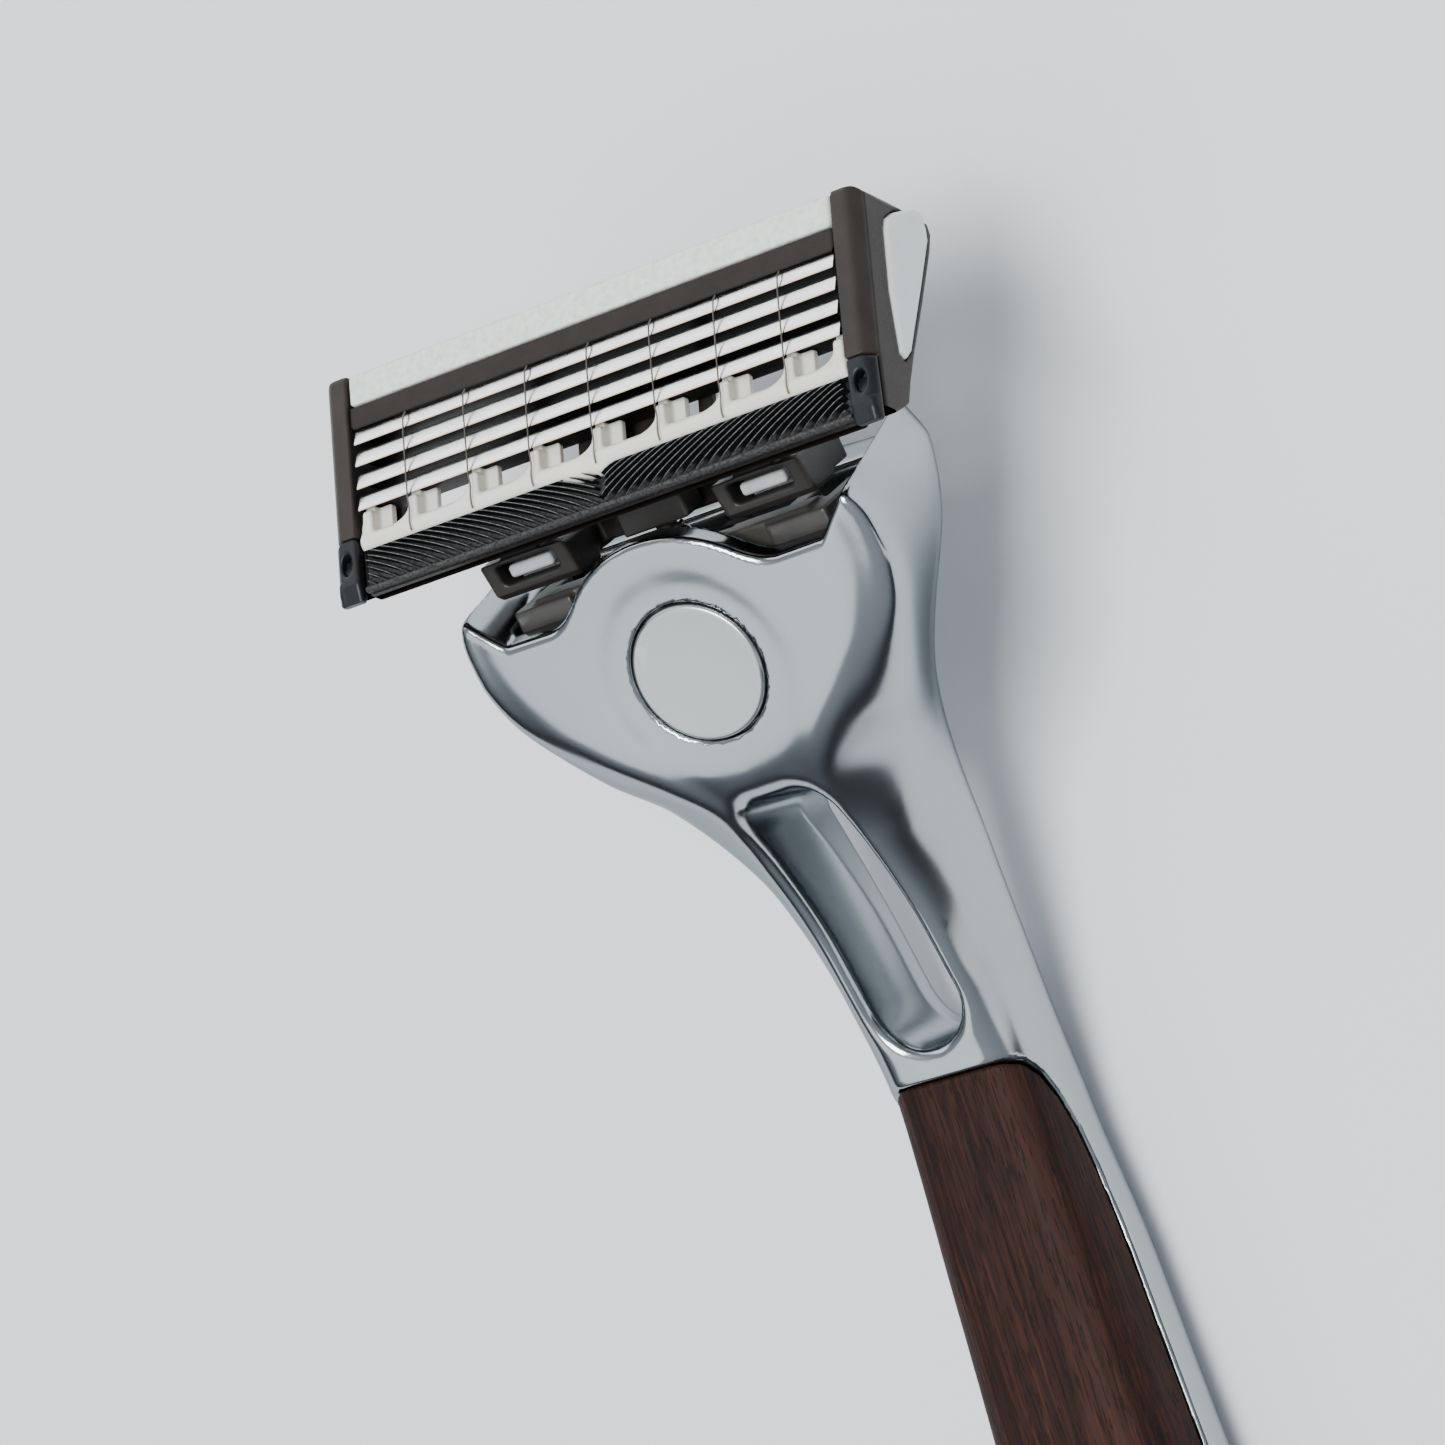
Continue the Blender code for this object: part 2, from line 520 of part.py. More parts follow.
def make_ends(cartridge):
    """End caps with their glossy inserts and the soft lugs at their lower corners."""
    cap = [(-0.05, 0.1), (3.5, -0.1), (11.1, -0.1), (11.1, 0.87), (15.2, 1.07), (13.9, 3.2), (13.3, 3.85),
           (10.1, 4.8), (5.9, 6.45), (2.2, 7.8), (0.9, 8.1), (0.1, 7.8), (-0.55, 6.3), (-0.5, 4.4), (-0.45, 1.2)]
    lug = [(11.2, -0.1), (14.4, 0.0), (15.4, 0.3), (15.3, 0.95), (11.2, 0.75)]
    insert = [(1.45, 2.9), (0.7, 3.9), (-0.3, 6.2), (-0.25, 6.95), (0.8, 7.4), (1.6, 7.45), (5.3, 6.1),
              (10.1, 4.25), (10.7, 3.7), (10.45, 3.1), (6.45, 2.6), (2.2, 2.65)]
    for side, hand in ((-1, "left"), (1, "right")):
        x0, x1 = sorted((side * CAP_INNER, side * CAP_OUTER))
        piece = soften(solid(f"end_cap_{hand}", across(cap, x0, x1), cartridge, "housing"), 0.22)
        well_floor = side * (CAP_OUTER - 0.7)
        cut(piece, across(insert, *sorted((well_floor, side * 22))))
        rubber_lug = solid(f"corner_lug_{hand}", across(lug, x0, x1), cartridge, "slate")
        soften(rubber_lug, 0.3)
        seat = sorted((side * (CAP_OUTER - 0.62), side * (CAP_OUTER + 0.22)))
        inner = [(1.5 + 0.96 * (down - 1.5), 5 + 0.97 * (deep - 5)) for down, deep in insert]
        solid(f"end_insert_{hand}", across(inner, *seat), cartridge, "white")


def make_razor():
    clear_scene()
    razor = frame("razor_frame", None, (0, BUTTON_Y, BUTTON_Z), 0)
    head = frame("head_frame", razor, (0, 0, 0), HEAD_TILT)
    cartridge = frame("cartridge_pivot", head, (0, PIVOT_B, PIVOT_N), FACE_TILT - HEAD_TILT)
    make_handle(razor, head)
    make_mechanism(head)
    make_plunger(head)
    make_carrier(head)
    make_housing(cartridge)
    make_blades(cartridge)
    make_guards(cartridge)
    make_ends(cartridge)


make_razor()
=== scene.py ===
"""Looks of the cartridge razor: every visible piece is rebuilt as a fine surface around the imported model.

Most pieces are written as a field, a function of three coordinates that is below zero inside the piece.
Fields are joined, cut and rounded by simple arithmetic, and surface() turns one into a closed mesh. Lengths
are in millimetres in three frames: the razor's (x, y, z) from the button's centre, the head's (x, b up the
head, n out of its face) and the cartridge's, where down runs from the strip to the guard and deep from the
shaving face.
"""

import json
import math

import bmesh
import bpy
import numpy as np
from mathutils import Matrix, Vector


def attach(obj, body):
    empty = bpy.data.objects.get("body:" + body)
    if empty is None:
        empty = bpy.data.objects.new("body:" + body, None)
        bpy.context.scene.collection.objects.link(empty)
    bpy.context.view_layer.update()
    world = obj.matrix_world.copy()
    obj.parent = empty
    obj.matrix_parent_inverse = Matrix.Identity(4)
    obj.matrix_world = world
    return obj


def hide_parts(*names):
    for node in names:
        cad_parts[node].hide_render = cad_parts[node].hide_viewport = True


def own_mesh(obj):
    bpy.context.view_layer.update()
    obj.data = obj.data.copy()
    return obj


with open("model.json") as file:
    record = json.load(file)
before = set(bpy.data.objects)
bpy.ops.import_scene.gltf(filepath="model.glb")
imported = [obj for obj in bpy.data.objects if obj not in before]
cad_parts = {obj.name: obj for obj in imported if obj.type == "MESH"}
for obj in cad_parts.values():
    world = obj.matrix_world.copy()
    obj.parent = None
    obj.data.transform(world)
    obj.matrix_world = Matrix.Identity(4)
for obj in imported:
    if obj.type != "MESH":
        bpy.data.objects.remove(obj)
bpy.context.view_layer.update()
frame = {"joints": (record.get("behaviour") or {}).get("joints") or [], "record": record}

MM = 0.001
FINE = 1.0

# Frames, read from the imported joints. The hinge line is at (PIVOT_B, PIVOT_N) in the head's frame and at
# (PIVOT_DOWN, PIVOT_DEEP) in the cartridge's.
PIVOT_B = 12.33
PIVOT_N = -2.70
PIVOT_DOWN = 12.2
PIVOT_DEEP = 3.6
FACE_TILT = -23.4
JOINTS = {joint["name"]: joint for joint in frame["joints"]}
PIVOT = Vector(JOINTS["cartridge_pivot"]["pos_m"])
HEAD_UP = Vector(JOINTS["carrier_release"]["axis"]).normalized()
HEAD_OUT = -Vector(JOINTS["release_button_press"]["axis"]).normalized()
BUTTON = PIVOT - (HEAD_UP * PIVOT_B + HEAD_OUT * PIVOT_N) * MM
SIDEWAYS = Vector((1, 0, 0))


def frame_matrix(origin, along, out):
    """From a frame's millimetres to the world's metres."""
    matrix = Matrix((SIDEWAYS, along, out)).transposed().to_4x4()
    return Matrix.Translation(origin) @ matrix @ Matrix.Scale(MM, 4)


tilt = Matrix.Rotation(math.radians(FACE_TILT), 3, "X")
RAZOR = frame_matrix(BUTTON, Vector((0, 1, 0)), Vector((0, 0, 1)))
HEAD = frame_matrix(BUTTON, HEAD_UP, HEAD_OUT)
CARTRIDGE = frame_matrix(PIVOT, tilt @ Vector((0, 1, 0)), tilt @ Vector((0, 0, 1)))

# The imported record's material slot and body for each CAD node.
SLOTS = {row["node"]: row["material_slot"] for row in frame["record"]["subparts"]}
BODIES = {node: body for body, nodes in frame["record"]["behaviour"]["bodies"].items() for node in nodes}

# Handle
HANDLE_END = -119.0
END_ROUNDING = 5.0
HEAD_TOP = 13.0
WOOD_TOP = -29.3
WOOD_END = -112.0
SPINE_FRONT = -18.5
WOOD_GAP = 0.08
WOOD_INSET = 0.16
PEG_PLACES = (-48, -94)
SLOT_HALF_WIDTH = 3.45
SLOT_TOP = -8.5
SLOT_END = -27.3
SLOT_CORNER = 2.2
FRONT_LINE = [(13, 3.27), (5, 1.26), (0, 0), (-5, -1.4), (-9.1, -3.9), (-13, -6.8), (-18, -9.7),
    (-23, -11.6), (-27, -12.9), (-31, -13.5), (-45, -13.4), (-80, -13.0), (-119, -13.6)]
CREASE_HALF_WIDTH = [(13, 9.0), (9.5, 11.8), (7, 13.5), (5, 13.9), (0, 12.5), (-3.3, 9.8), (-6.6, 6.7),
    (-9.5, 4.6), (-14, 4.1), (-23, 4.0), (-31, 3.9), (-45, 4.3), (-80, 5.2), (-119, 4.9)]
SHOULDER_HALF_WIDTH = [(13, 10.2), (9.8, 13.3), (8.2, 14.8), (6.5, 15.7), (4.5, 15.9), (2.8, 15.8),
    (0, 14.8), (-4.9, 11.6), (-7.8, 9.2), (-13.4, 6.4), (-18, 5.9), (-23, 5.7), (-31, 5.4), (-45, 6.0),
    (-80, 7.3), (-119, 6.9)]
SHOULDER_LINE = [(13, 1.4), (5, -0.7), (0, -2.2), (-4.9, -4.6), (-7.8, -6.8), (-13.4, -9.6), (-18, -12.1),
    (-23, -14.1), (-31, -15.6), (-45, -15.6), (-80, -15.4), (-119, -15.8)]
FLANK_HALF_WIDTH = [(13, 14.4), (9.5, 15.7), (5, 15.0), (0, 12.8), (-5, 10.2), (-10, 8.6), (-16, 7.5),
    (-22, 6.7), (-28, 6.05), (-34, 5.8), (-45, 6.6), (-80, 8.0), (-119, 7.5)]
FLANK_LINE = [(13, -8.0), (5, -8.6), (0, -8.5), (-5, -10.0), (-10, -12.3), (-16, -14.8), (-22, -16.9),
    (-28, -18.7), (-34, -20.0), (-45, -20.4), (-119, -20.4)]
BACK_LINE = [(13, -11.0), (5, -11.2), (-1.3, -11.6), (-7, -13.9), (-16, -17.6), (-28, -21.5), (-35, -22.9),
    (-42, -23.3), (-119, -23.3)]

# Head
FRONT_WALL = 1.9
CAVITY_HALF_WIDTH = 12.4
CAVITY_BACK = -10.2
LOBE_RADIUS = 9.2
POCKET_FLOOR = 5.4
EAR_RISE_OUTWARD = 0.93
EAR_RISE_BACKWARD = 0.2
BUTTON_RADIUS = 4.55
BUTTON_GAP = 0.12
BUTTON_EDGE = 0.25
BUTTON_TOP = -0.42
DISH_RADIUS = 7.6
DISH_SLOPE = 2.4
DISH_DEPTH = 0.28
SCREW_B = 3.9
PLUNGER_N = -4.4

# Cartridge
HALF_WINDOW = 18.95
CAP_INNER = 19.05
CAP_OUTER = 21.0
BLADE_EDGES = (4.88, 6.38, 7.93, 9.41)
WIRE_PITCH = 4.89
WIRE_COUNT = 7
WIRE_TOP = 3.8
WIRE_END = 11.9
WIRE_STEPS = 40
WIRE_RADIUS = 0.055
BLOCK_INNER = 5.7
BLOCK_OUTER = 12.4
ARM_INNER = 7.6
ARM_OUTER = 10.6
PIN_RADIUS = 0.5
PIN_INNER = 6.1
PIN_OUTER = 12.1


# Fields

def smooth_max(a, b, blend):
    """Where both fields are below zero, with the edge between them rounded over about the blend."""
    closeness = np.clip(1 - np.abs(a - b) / blend, 0, 1)
    return np.maximum(a, b) + closeness**2 * blend / 4


def carve(base, cutter, blend=0.2):
    return smooth_max(base, -cutter, blend)


def join(a, b, blend=0.2):
    return -smooth_max(-a, -b, blend)


def slab(x, low, high):
    return np.maximum(low - x, x - high)


def block(x, y, z, low, high, radius=0.2):
    """A box with rounded edges."""
    apart = [np.maximum(l - c, c - h) + radius for c, l, h in zip((x, y, z), low, high)]
    outside = np.sqrt(sum(np.maximum(a, 0) ** 2 for a in apart))
    inside = np.minimum(np.maximum(np.maximum(apart[0], apart[1]), apart[2]), 0)
    return outside + inside - radius


def rod(a, b, centre, radius):
    return np.hypot(a - centre[0], b - centre[1]) - radius


def polygon(a, b, outline):
    """Distance from a closed outline in the plane of two coordinates, below zero inside it."""
    nearest, inside = np.inf, False
    for (a0, b0), (a1, b1) in zip(outline, outline[1:] + outline[:1]):
        da, db = a1 - a0, b1 - b0
        along = np.clip(((a - a0) * da + (b - b0) * db) / (da * da + db * db), 0, 1)
        nearest = np.minimum(nearest, (a - a0 - da * along) ** 2 + (b - b0 - db * along) ** 2)
        if b0 != b1:
            inside = inside ^ (((b0 > b) != (b1 > b)) & (a < a0 + (b - b0) * da / db))
    return np.where(inside, -1, 1) * np.sqrt(nearest)


def prism(x, a, b, outline, low, high, blend):
    """An outline in two coordinates between two ends along x, its end edges rounded."""
    return smooth_max(polygon(a, b, outline), slab(x, low, high), blend)


def ripple(*terms):
    """A smooth uneven value between about -1 and 1, from a few sine waves of unrelated lengths."""
    return sum(np.sin(term + 1.7 * math.sin(i * 2.4)) for i, term in enumerate(terms)) / len(terms)


# Meshes

def step_axis(stops):
    """Grid places from (place, cell size) stops; each size holds up to the next stop's place."""
    places = [stops[0][0]]
    for (start, size), (end, _) in zip(stops, stops[1:]):
        count = max(1, math.ceil((end - start) / (size * FINE)))
        places += [start + (end - start) * (i + 1) / count for i in range(count)]
    return np.array(places)


def even_axes(low, high, cell):
    margin = 2 * cell * FINE
    return [step_axis([(l - margin, cell), (h + margin, cell)]) for l, h in zip(low, high)]


def gradient(field, points, reach=0.01):
    sides = []
    for axis in range(3):
        offset = np.zeros(3)
        offset[axis] = reach
        sides.append(field(*(points + offset).T) - field(*(points - offset).T))
    return np.stack(sides, 1) / (2 * reach)


CELL_CORNERS = [(i, j, k) for i in (0, 1) for j in (0, 1) for k in (0, 1)]
POLISH_STEPS = 2


def surface(field, axes, reach):
    """Points, faces and normals of the closed surface where the field is zero, on a grid of three axes.

    The normals are read over a span of twice the reach, which also softens what is smaller than that.
    """
    xs, ys, zs = axes
    grid = field(xs[:, None, None], ys[None, :, None], zs[None, None, :])
    values = np.array(np.broadcast_to(grid, (len(xs), len(ys), len(zs))), float)
    solid = values < 0
    filled = sum(solid[i:len(xs) - 1 + i, j:len(ys) - 1 + j, k:len(zs) - 1 + k].astype(np.int8) for i, j,
        k in CELL_CORNERS)
    cells = np.argwhere((filled > 0) & (filled < 8))
    number = np.full(filled.shape, -1)
    number[tuple(cells.T)] = np.arange(len(cells))

    total, crossings = np.zeros((len(cells), 3)), np.zeros(len(cells))
    for corner in CELL_CORNERS:
        for axis in range(3):
            if corner[axis]:
                continue
            start = cells + corner
            end = start.copy()
            end[:, axis] += 1
            v0, v1 = values[tuple(start.T)], values[tuple(end.T)]
            hit = (v0 < 0) != (v1 < 0)
            place = np.stack([axes[a][start[:, a]] for a in range(3)], 1)
            share = np.where(hit, v0 / np.where(hit, v0 - v1, 1), 0)
            place[:, axis] += share * (axes[axis][end[:, axis]] - axes[axis][start[:, axis]])
            total[hit] += place[hit]
            crossings[hit] += 1
    points = total / crossings[:, None]

    faces = []
    for axis in range(3):
        second, third = (axis + 1) % 3, (axis + 2) % 3
        low = [slice(1, -1)] * 3
        low[axis] = slice(0, -1)
        high = list(low)
        high[axis] = slice(1, None)
        a, b = solid[tuple(low)], solid[tuple(high)]
        edges = np.argwhere(a != b)
        outward = a[tuple(edges.T)]
        edges[:, second] += 1
        edges[:, third] += 1
        around = []
        for back2, back3 in ((1, 1), (0, 1), (0, 0), (1, 0)):
            cell = edges.copy()
            cell[:, second] -= back2
            cell[:, third] -= back3
            around.append(number[tuple(cell.T)])
        quads = np.stack(around, 1)
        faces.append(np.where(outward[:, None], quads, quads[:, ::-1]))
    faces = np.concatenate(faces)

    smallest = min(np.diff(axis).min() for axis in axes)
    for _ in range(POLISH_STEPS):
        slope = gradient(field, points)
        size = np.maximum((slope**2).sum(1), 0.05)
        move = np.clip(field(*points.T) / size, -smallest / 2, smallest / 2)
        points = points - slope * move[:, None]
    slope = gradient(field, points, reach)
    return points, faces, slope / np.maximum(np.linalg.norm(slope, axis=1, keepdims=True), 1e-9)


def finish_piece(name, node, mesh, place):
    """Puts a mesh made in a frame's millimetres into the world, on the body of the CAD node it replaces."""
    mesh.transform(place)
    mesh.materials.append(MATERIALS[SLOTS[node]])
    piece = bpy.data.objects.new(name, mesh)
    bpy.context.scene.collection.objects.link(piece)
    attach(piece, BODIES[node])
    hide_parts(node)
    return piece


def field_piece(name, node, field, axes, place, reach=0.03):
    points, faces, normals = surface(field, axes, reach)
    mesh = bpy.data.meshes.new(name)
    mesh.from_pydata(points.tolist(), [], faces.tolist())
    mesh.shade_smooth()
    turned_normals = normals @ np.array(place.to_3x3().normalized()).T
    finish_piece(name, node, mesh, place)
    mesh.normals_split_custom_set_from_vertices(turned_normals.tolist())


def rings_mesh(shapes):
    """One (points, faces) from several lofts, each a list of equal rings with closed ends."""
    points, faces = [], []
    for rings in shapes:
        count, first = len(rings[0]), len(points)
        points += [tuple(point) for ring in rings for point in ring]
        for level in range(len(rings) - 1):
            for i in range(count):
                a, b = first + level * count + i, first + level * count + (i + 1) % count
                faces.append((a, b, b + count, a + count))
        faces.append(tuple(range(first + count - 1, first - 1, -1)))
        last = first + (len(rings) - 1) * count
        faces.append(tuple(range(last, last + count)))
    return points, faces


def loft_piece(name, node, shapes, place, sharp=35):
    """A piece made of lofts, with its faces turned outwards and edges over the sharp angle left crisp."""
    points, faces = rings_mesh(shapes)
    mesh = bpy.data.meshes.new(name)
    mesh.from_pydata(points, [], faces)
    work = bmesh.new()
    work.from_mesh(mesh)
    bmesh.ops.recalc_face_normals(work, faces=work.faces)
    work.to_mesh(mesh)
    work.free()
    mesh.shade_smooth()
    mesh.set_sharp_from_angle(angle=math.radians(sharp))
    return finish_piece(name, node, mesh, place)


def circle(radius, sides):
    angles = [math.radians(360 * i / sides) for i in range(sides)]
    return [(radius * math.cos(a), radius * math.sin(a)) for a in angles]


def tube(path, radius, sides):
    """Rings of a round tube along a path of 3-D points."""
    path = [Vector(point) for point in path]
    rings = []
    for i, point in enumerate(path):
        ahead = (path[min(i + 1, len(path) - 1)] - path[max(i - 1, 0)]).normalized()
        across = ahead.cross(Vector((0.3, 0.2, 1)).normalized()).normalized()
        over = ahead.cross(across)
        rings.append([point + across * a + over * b for a, b in circle(radius, sides)])
    return rings


def turned(profile, sides, centre=(0, 0)):
    """Rings of a body of revolution about z, from its (radius, z) profile."""
    return [[(centre[0] + x, centre[1] + y, z) for x, y in circle(r, sides)] for r, z in profile]


# Materials

def scaled(colour, share):
    return tuple(min(1, c * share) for c in colour)


class Nodes:
    """Adds shader nodes to a tree."""

    def __init__(self, tree):
        self.tree = tree

    def feed(self, socket, value):
        """Links another node's output to a socket, or sets the socket to a plain value."""
        if isinstance(value, bpy.types.NodeSocket):
            self.tree.links.new(value, socket)
        else:
            socket.default_value = value

    def add(self, kind, output, **settings):
        """One output of a new node, whose attributes and sockets take the settings."""
        node = self.tree.nodes.new("ShaderNode" + kind)
        for key, value in settings.items():
            if hasattr(node, key):
                setattr(node, key, value)
            else:
                self.feed(node.inputs[key.replace("_", " ")], value)
        return node.outputs[output]

    def ramp(self, source, stops):
        """Colours by a value through a ramp of (position, colour) stops."""
        output = self.add("ValToRGB", "Color", Fac=source)
        elements = output.node.color_ramp.elements
        while len(elements) < len(stops):
            elements.new(0.5)
        for element, (position, colour) in zip(elements, stops):
            element.position = position
            element.color = (*colour, 1)
        return output


class Shading(Nodes):
    """Builds one procedural material around a Principled shader."""

    def __init__(self, name, colour, roughness, metallic=0.0, **sockets):
        self.material = bpy.data.materials.new(name)
        self.material.use_nodes = True
        super().__init__(self.material.node_tree)
        self.shader = self.tree.nodes["Principled BSDF"]
        sockets |= {"Base Color": (*colour, 1), "Roughness": roughness, "Metallic": metallic}
        for socket, value in sockets.items():
            self.shader.inputs[socket.replace("_", " ")].default_value = value

    def noise(self, per_mm, detail=3.0, stretch=(1, 1, 1), distortion=0.0):
        """A noise over the object's millimetres, squeezed along its axes by the stretch."""
        place = self.add("Mapping", "Vector", Vector=self.add("TexCoord", "Object"),
            Scale=[s / MM for s in stretch])
        return self.add("TexNoise", "Fac", Scale=per_mm, Detail=detail, Distortion=distortion, Vector=place)

    def spread(self, source, low, high, out_low=0.0, out_high=1.0):
        return self.add("MapRange", "Result", Value=source, From_Min=low, From_Max=high, To_Min=out_low,
            To_Max=out_high)

    def send(self, output, into):
        """Links an output to one of the shader's sockets, or leaves it open where into is None."""
        if into:
            self.feed(self.shader.inputs[into], output)
        return output

    def tint(self, source, stops, into="Base Color"):
        return self.send(self.ramp(source, stops), into)

    def rough(self, source):
        self.send(source, "Roughness")

    def bump(self, source, depth_mm, strength=1.0, **after):
        relief = self.add("Bump", "Normal", Strength=strength, Distance=depth_mm * MM, Height=source,
            **after)
        return self.send(relief, "Normal")

    def mix(self, factor, a, b, into="Base Color"):
        return self.send(self.add("Mix", "Result", data_type="RGBA", Factor=factor, A=a, B=b), into)

    def combine(self, operation, a, b):
        output = self.add("Math", "Value", operation=operation)
        for socket, value in zip(output.node.inputs, (a, b)):
            self.feed(socket, value)
        return output


def plated_metal(name, colour, satin, polished):
    """Satin plating: blurred reflections on the flats, a polish along worn edges and fine unevenness."""
    made = Shading(name, colour, satin, metallic=1.0, Specular_Tint=(0.45, 0.48, 0.50, 1))
    cloud = made.noise(0.12, 4)
    grain = made.noise(9, 5)
    edges = made.add("NewGeometry", "Pointiness")
    worn = made.spread(edges, 0.52, 0.60)
    base = made.spread(cloud, 0.35, 0.65, satin * 0.9, satin * 1.1)
    shine = made.combine("MULTIPLY", worn, polished - satin)
    smoothed = made.combine("ADD", base, shine)
    fine = made.combine("MULTIPLY", made.combine("SUBTRACT", grain, 0.5), 0.10)
    made.rough(made.combine("ADD", smoothed, fine))
    made.tint(cloud, [(0.3, scaled(colour, 0.97)), (0.7, colour)])
    made.bump(grain, 0.004, 0.25)
    return made.material


def fine_steel(name, colour, roughness, lines=(1, 1, 1), depth=0.004):
    """Steel with fine drawn or ground lines; lines squeezes the grain along one axis."""
    made = Shading(name, colour, roughness, metallic=1.0)
    scratches = made.noise(14, 4, lines)
    cloud = made.noise(0.4, 3)
    made.rough(made.spread(scratches, 0.3, 0.7, roughness * 0.75, roughness * 1.3))
    made.tint(cloud, [(0.3, scaled(colour, 0.9)), (0.7, colour)])
    made.bump(scratches, depth, 0.35)
    return made.material


def moulded(name, colour, roughness, texture=0.012, per_mm=7.0, variety=0.12, stretch=(1, 1, 1), **sockets):
    """Moulded plastic or rubber with a fine sparked texture and slightly uneven colour."""
    made = Shading(name, colour, roughness, **sockets)
    spark = made.noise(per_mm, 4, stretch)
    cloud = made.noise(0.7, 4)
    made.tint(cloud, [(0.3, scaled(colour, 1 - variety)), (0.7, scaled(colour, 1 + variety))])
    made.rough(made.spread(spark, 0.3, 0.7, roughness * 0.88, min(1, roughness * 1.12)))
    made.bump(spark, texture, 0.6)
    return made.material


def wood_material():
    """Dark open-pored wood with long grain, brown streaks and fine pores running down the handle."""
    made = Shading("dark_wood", (0.05, 0.02, 0.013), 0.5, Specular_IOR_Level=0.18)
    figure = made.noise(0.55, 5, (1, 0.035, 1), 0.6)
    streaks = made.noise(3.4, 7, (1, 0.03, 1), 0.25)
    fibres = made.noise(11, 5, (1, 0.035, 1))
    pores = made.noise(6.0, 2, (1, 0.07, 1))
    dark = made.tint(figure, [(0.30, (0.007, 0.0028, 0.0023)), (0.5, (0.017, 0.0058, 0.0044)),
        (0.68, (0.036, 0.0120, 0.0082))], None)
    light = made.tint(fibres, [(0.3, (0.011, 0.0038, 0.0028)), (0.7, (0.078, 0.0235, 0.0130))], None)
    streaked = made.mix(made.spread(streaks, 0.44, 0.68, 0, 0.8), dark, light, None)
    hollow = made.spread(pores, 0.57, 0.64)
    made.mix(made.combine("MULTIPLY", hollow, 0.85), streaked, (0.008, 0.004, 0.003, 1))
    made.rough(made.spread(fibres, 0.3, 0.7, 0.52, 0.72))
    relief = made.combine("SUBTRACT", made.combine("MULTIPLY", fibres, 0.5), hollow)
    made.bump(relief, 0.035, 0.8)
    return made.material


def strip_material():
    """Waxy lubricating strip, pale green-white with a granular dried surface."""
    made = Shading("waxy_strip", (0.72, 0.80, 0.72), 0.5, Subsurface_Weight=0.25, Subsurface_Scale=0.0015)
    lumps = made.noise(2.2, 5)
    flakes = made.noise(7, 3)
    made.tint(lumps, [(0.3, (0.60, 0.69, 0.61)), (0.55, (0.76, 0.83, 0.77)), (0.75, (0.86, 0.90, 0.86))])
    made.rough(made.spread(flakes, 0.3, 0.7, 0.35, 0.7))
    first = made.bump(lumps, 0.06, 0.7)
    made.bump(flakes, 0.02, 0.6, Normal=first)
    return made.material


def fin_material():
    """Black rubber with a grey highlight painted along the fin crests; a per-point attribute is 1 along a
    fin's crest.
    """
    made = Shading("finned_rubber", (0.010, 0.010, 0.012), 0.5, Specular_IOR_Level=0.15)
    highlight_mask = made.add("Attribute", "Fac", attribute_name="highlight_share")
    scuff_and_sheen = made.noise(5, 4)
    dark = made.tint(scuff_and_sheen, [(0.3, (0.004, 0.004, 0.005)), (0.7, (0.010, 0.011, 0.013))], None)
    # Painted highlight: this grey stands in for light caught on the fin crests and is mixed in by the
    # attribute.
    grey = made.tint(scuff_and_sheen, [(0.35, (0.06, 0.06, 0.063)), (0.65, (0.20, 0.20, 0.205))], None)
    made.mix(highlight_mask, dark, grey)
    made.rough(made.spread(scuff_and_sheen, 0.3, 0.7, 0.42, 0.58))
    made.bump(scuff_and_sheen, 0.008, 0.5)
    return made.material


def floor_material():
    made = Shading("studio_floor", (0.84, 0.87, 0.90), 0.6)
    cloud = made.noise(0.004, 2)
    made.tint(cloud, [(0.3, (0.83, 0.86, 0.89)), (0.7, (0.85, 0.88, 0.91))])
    return made.material


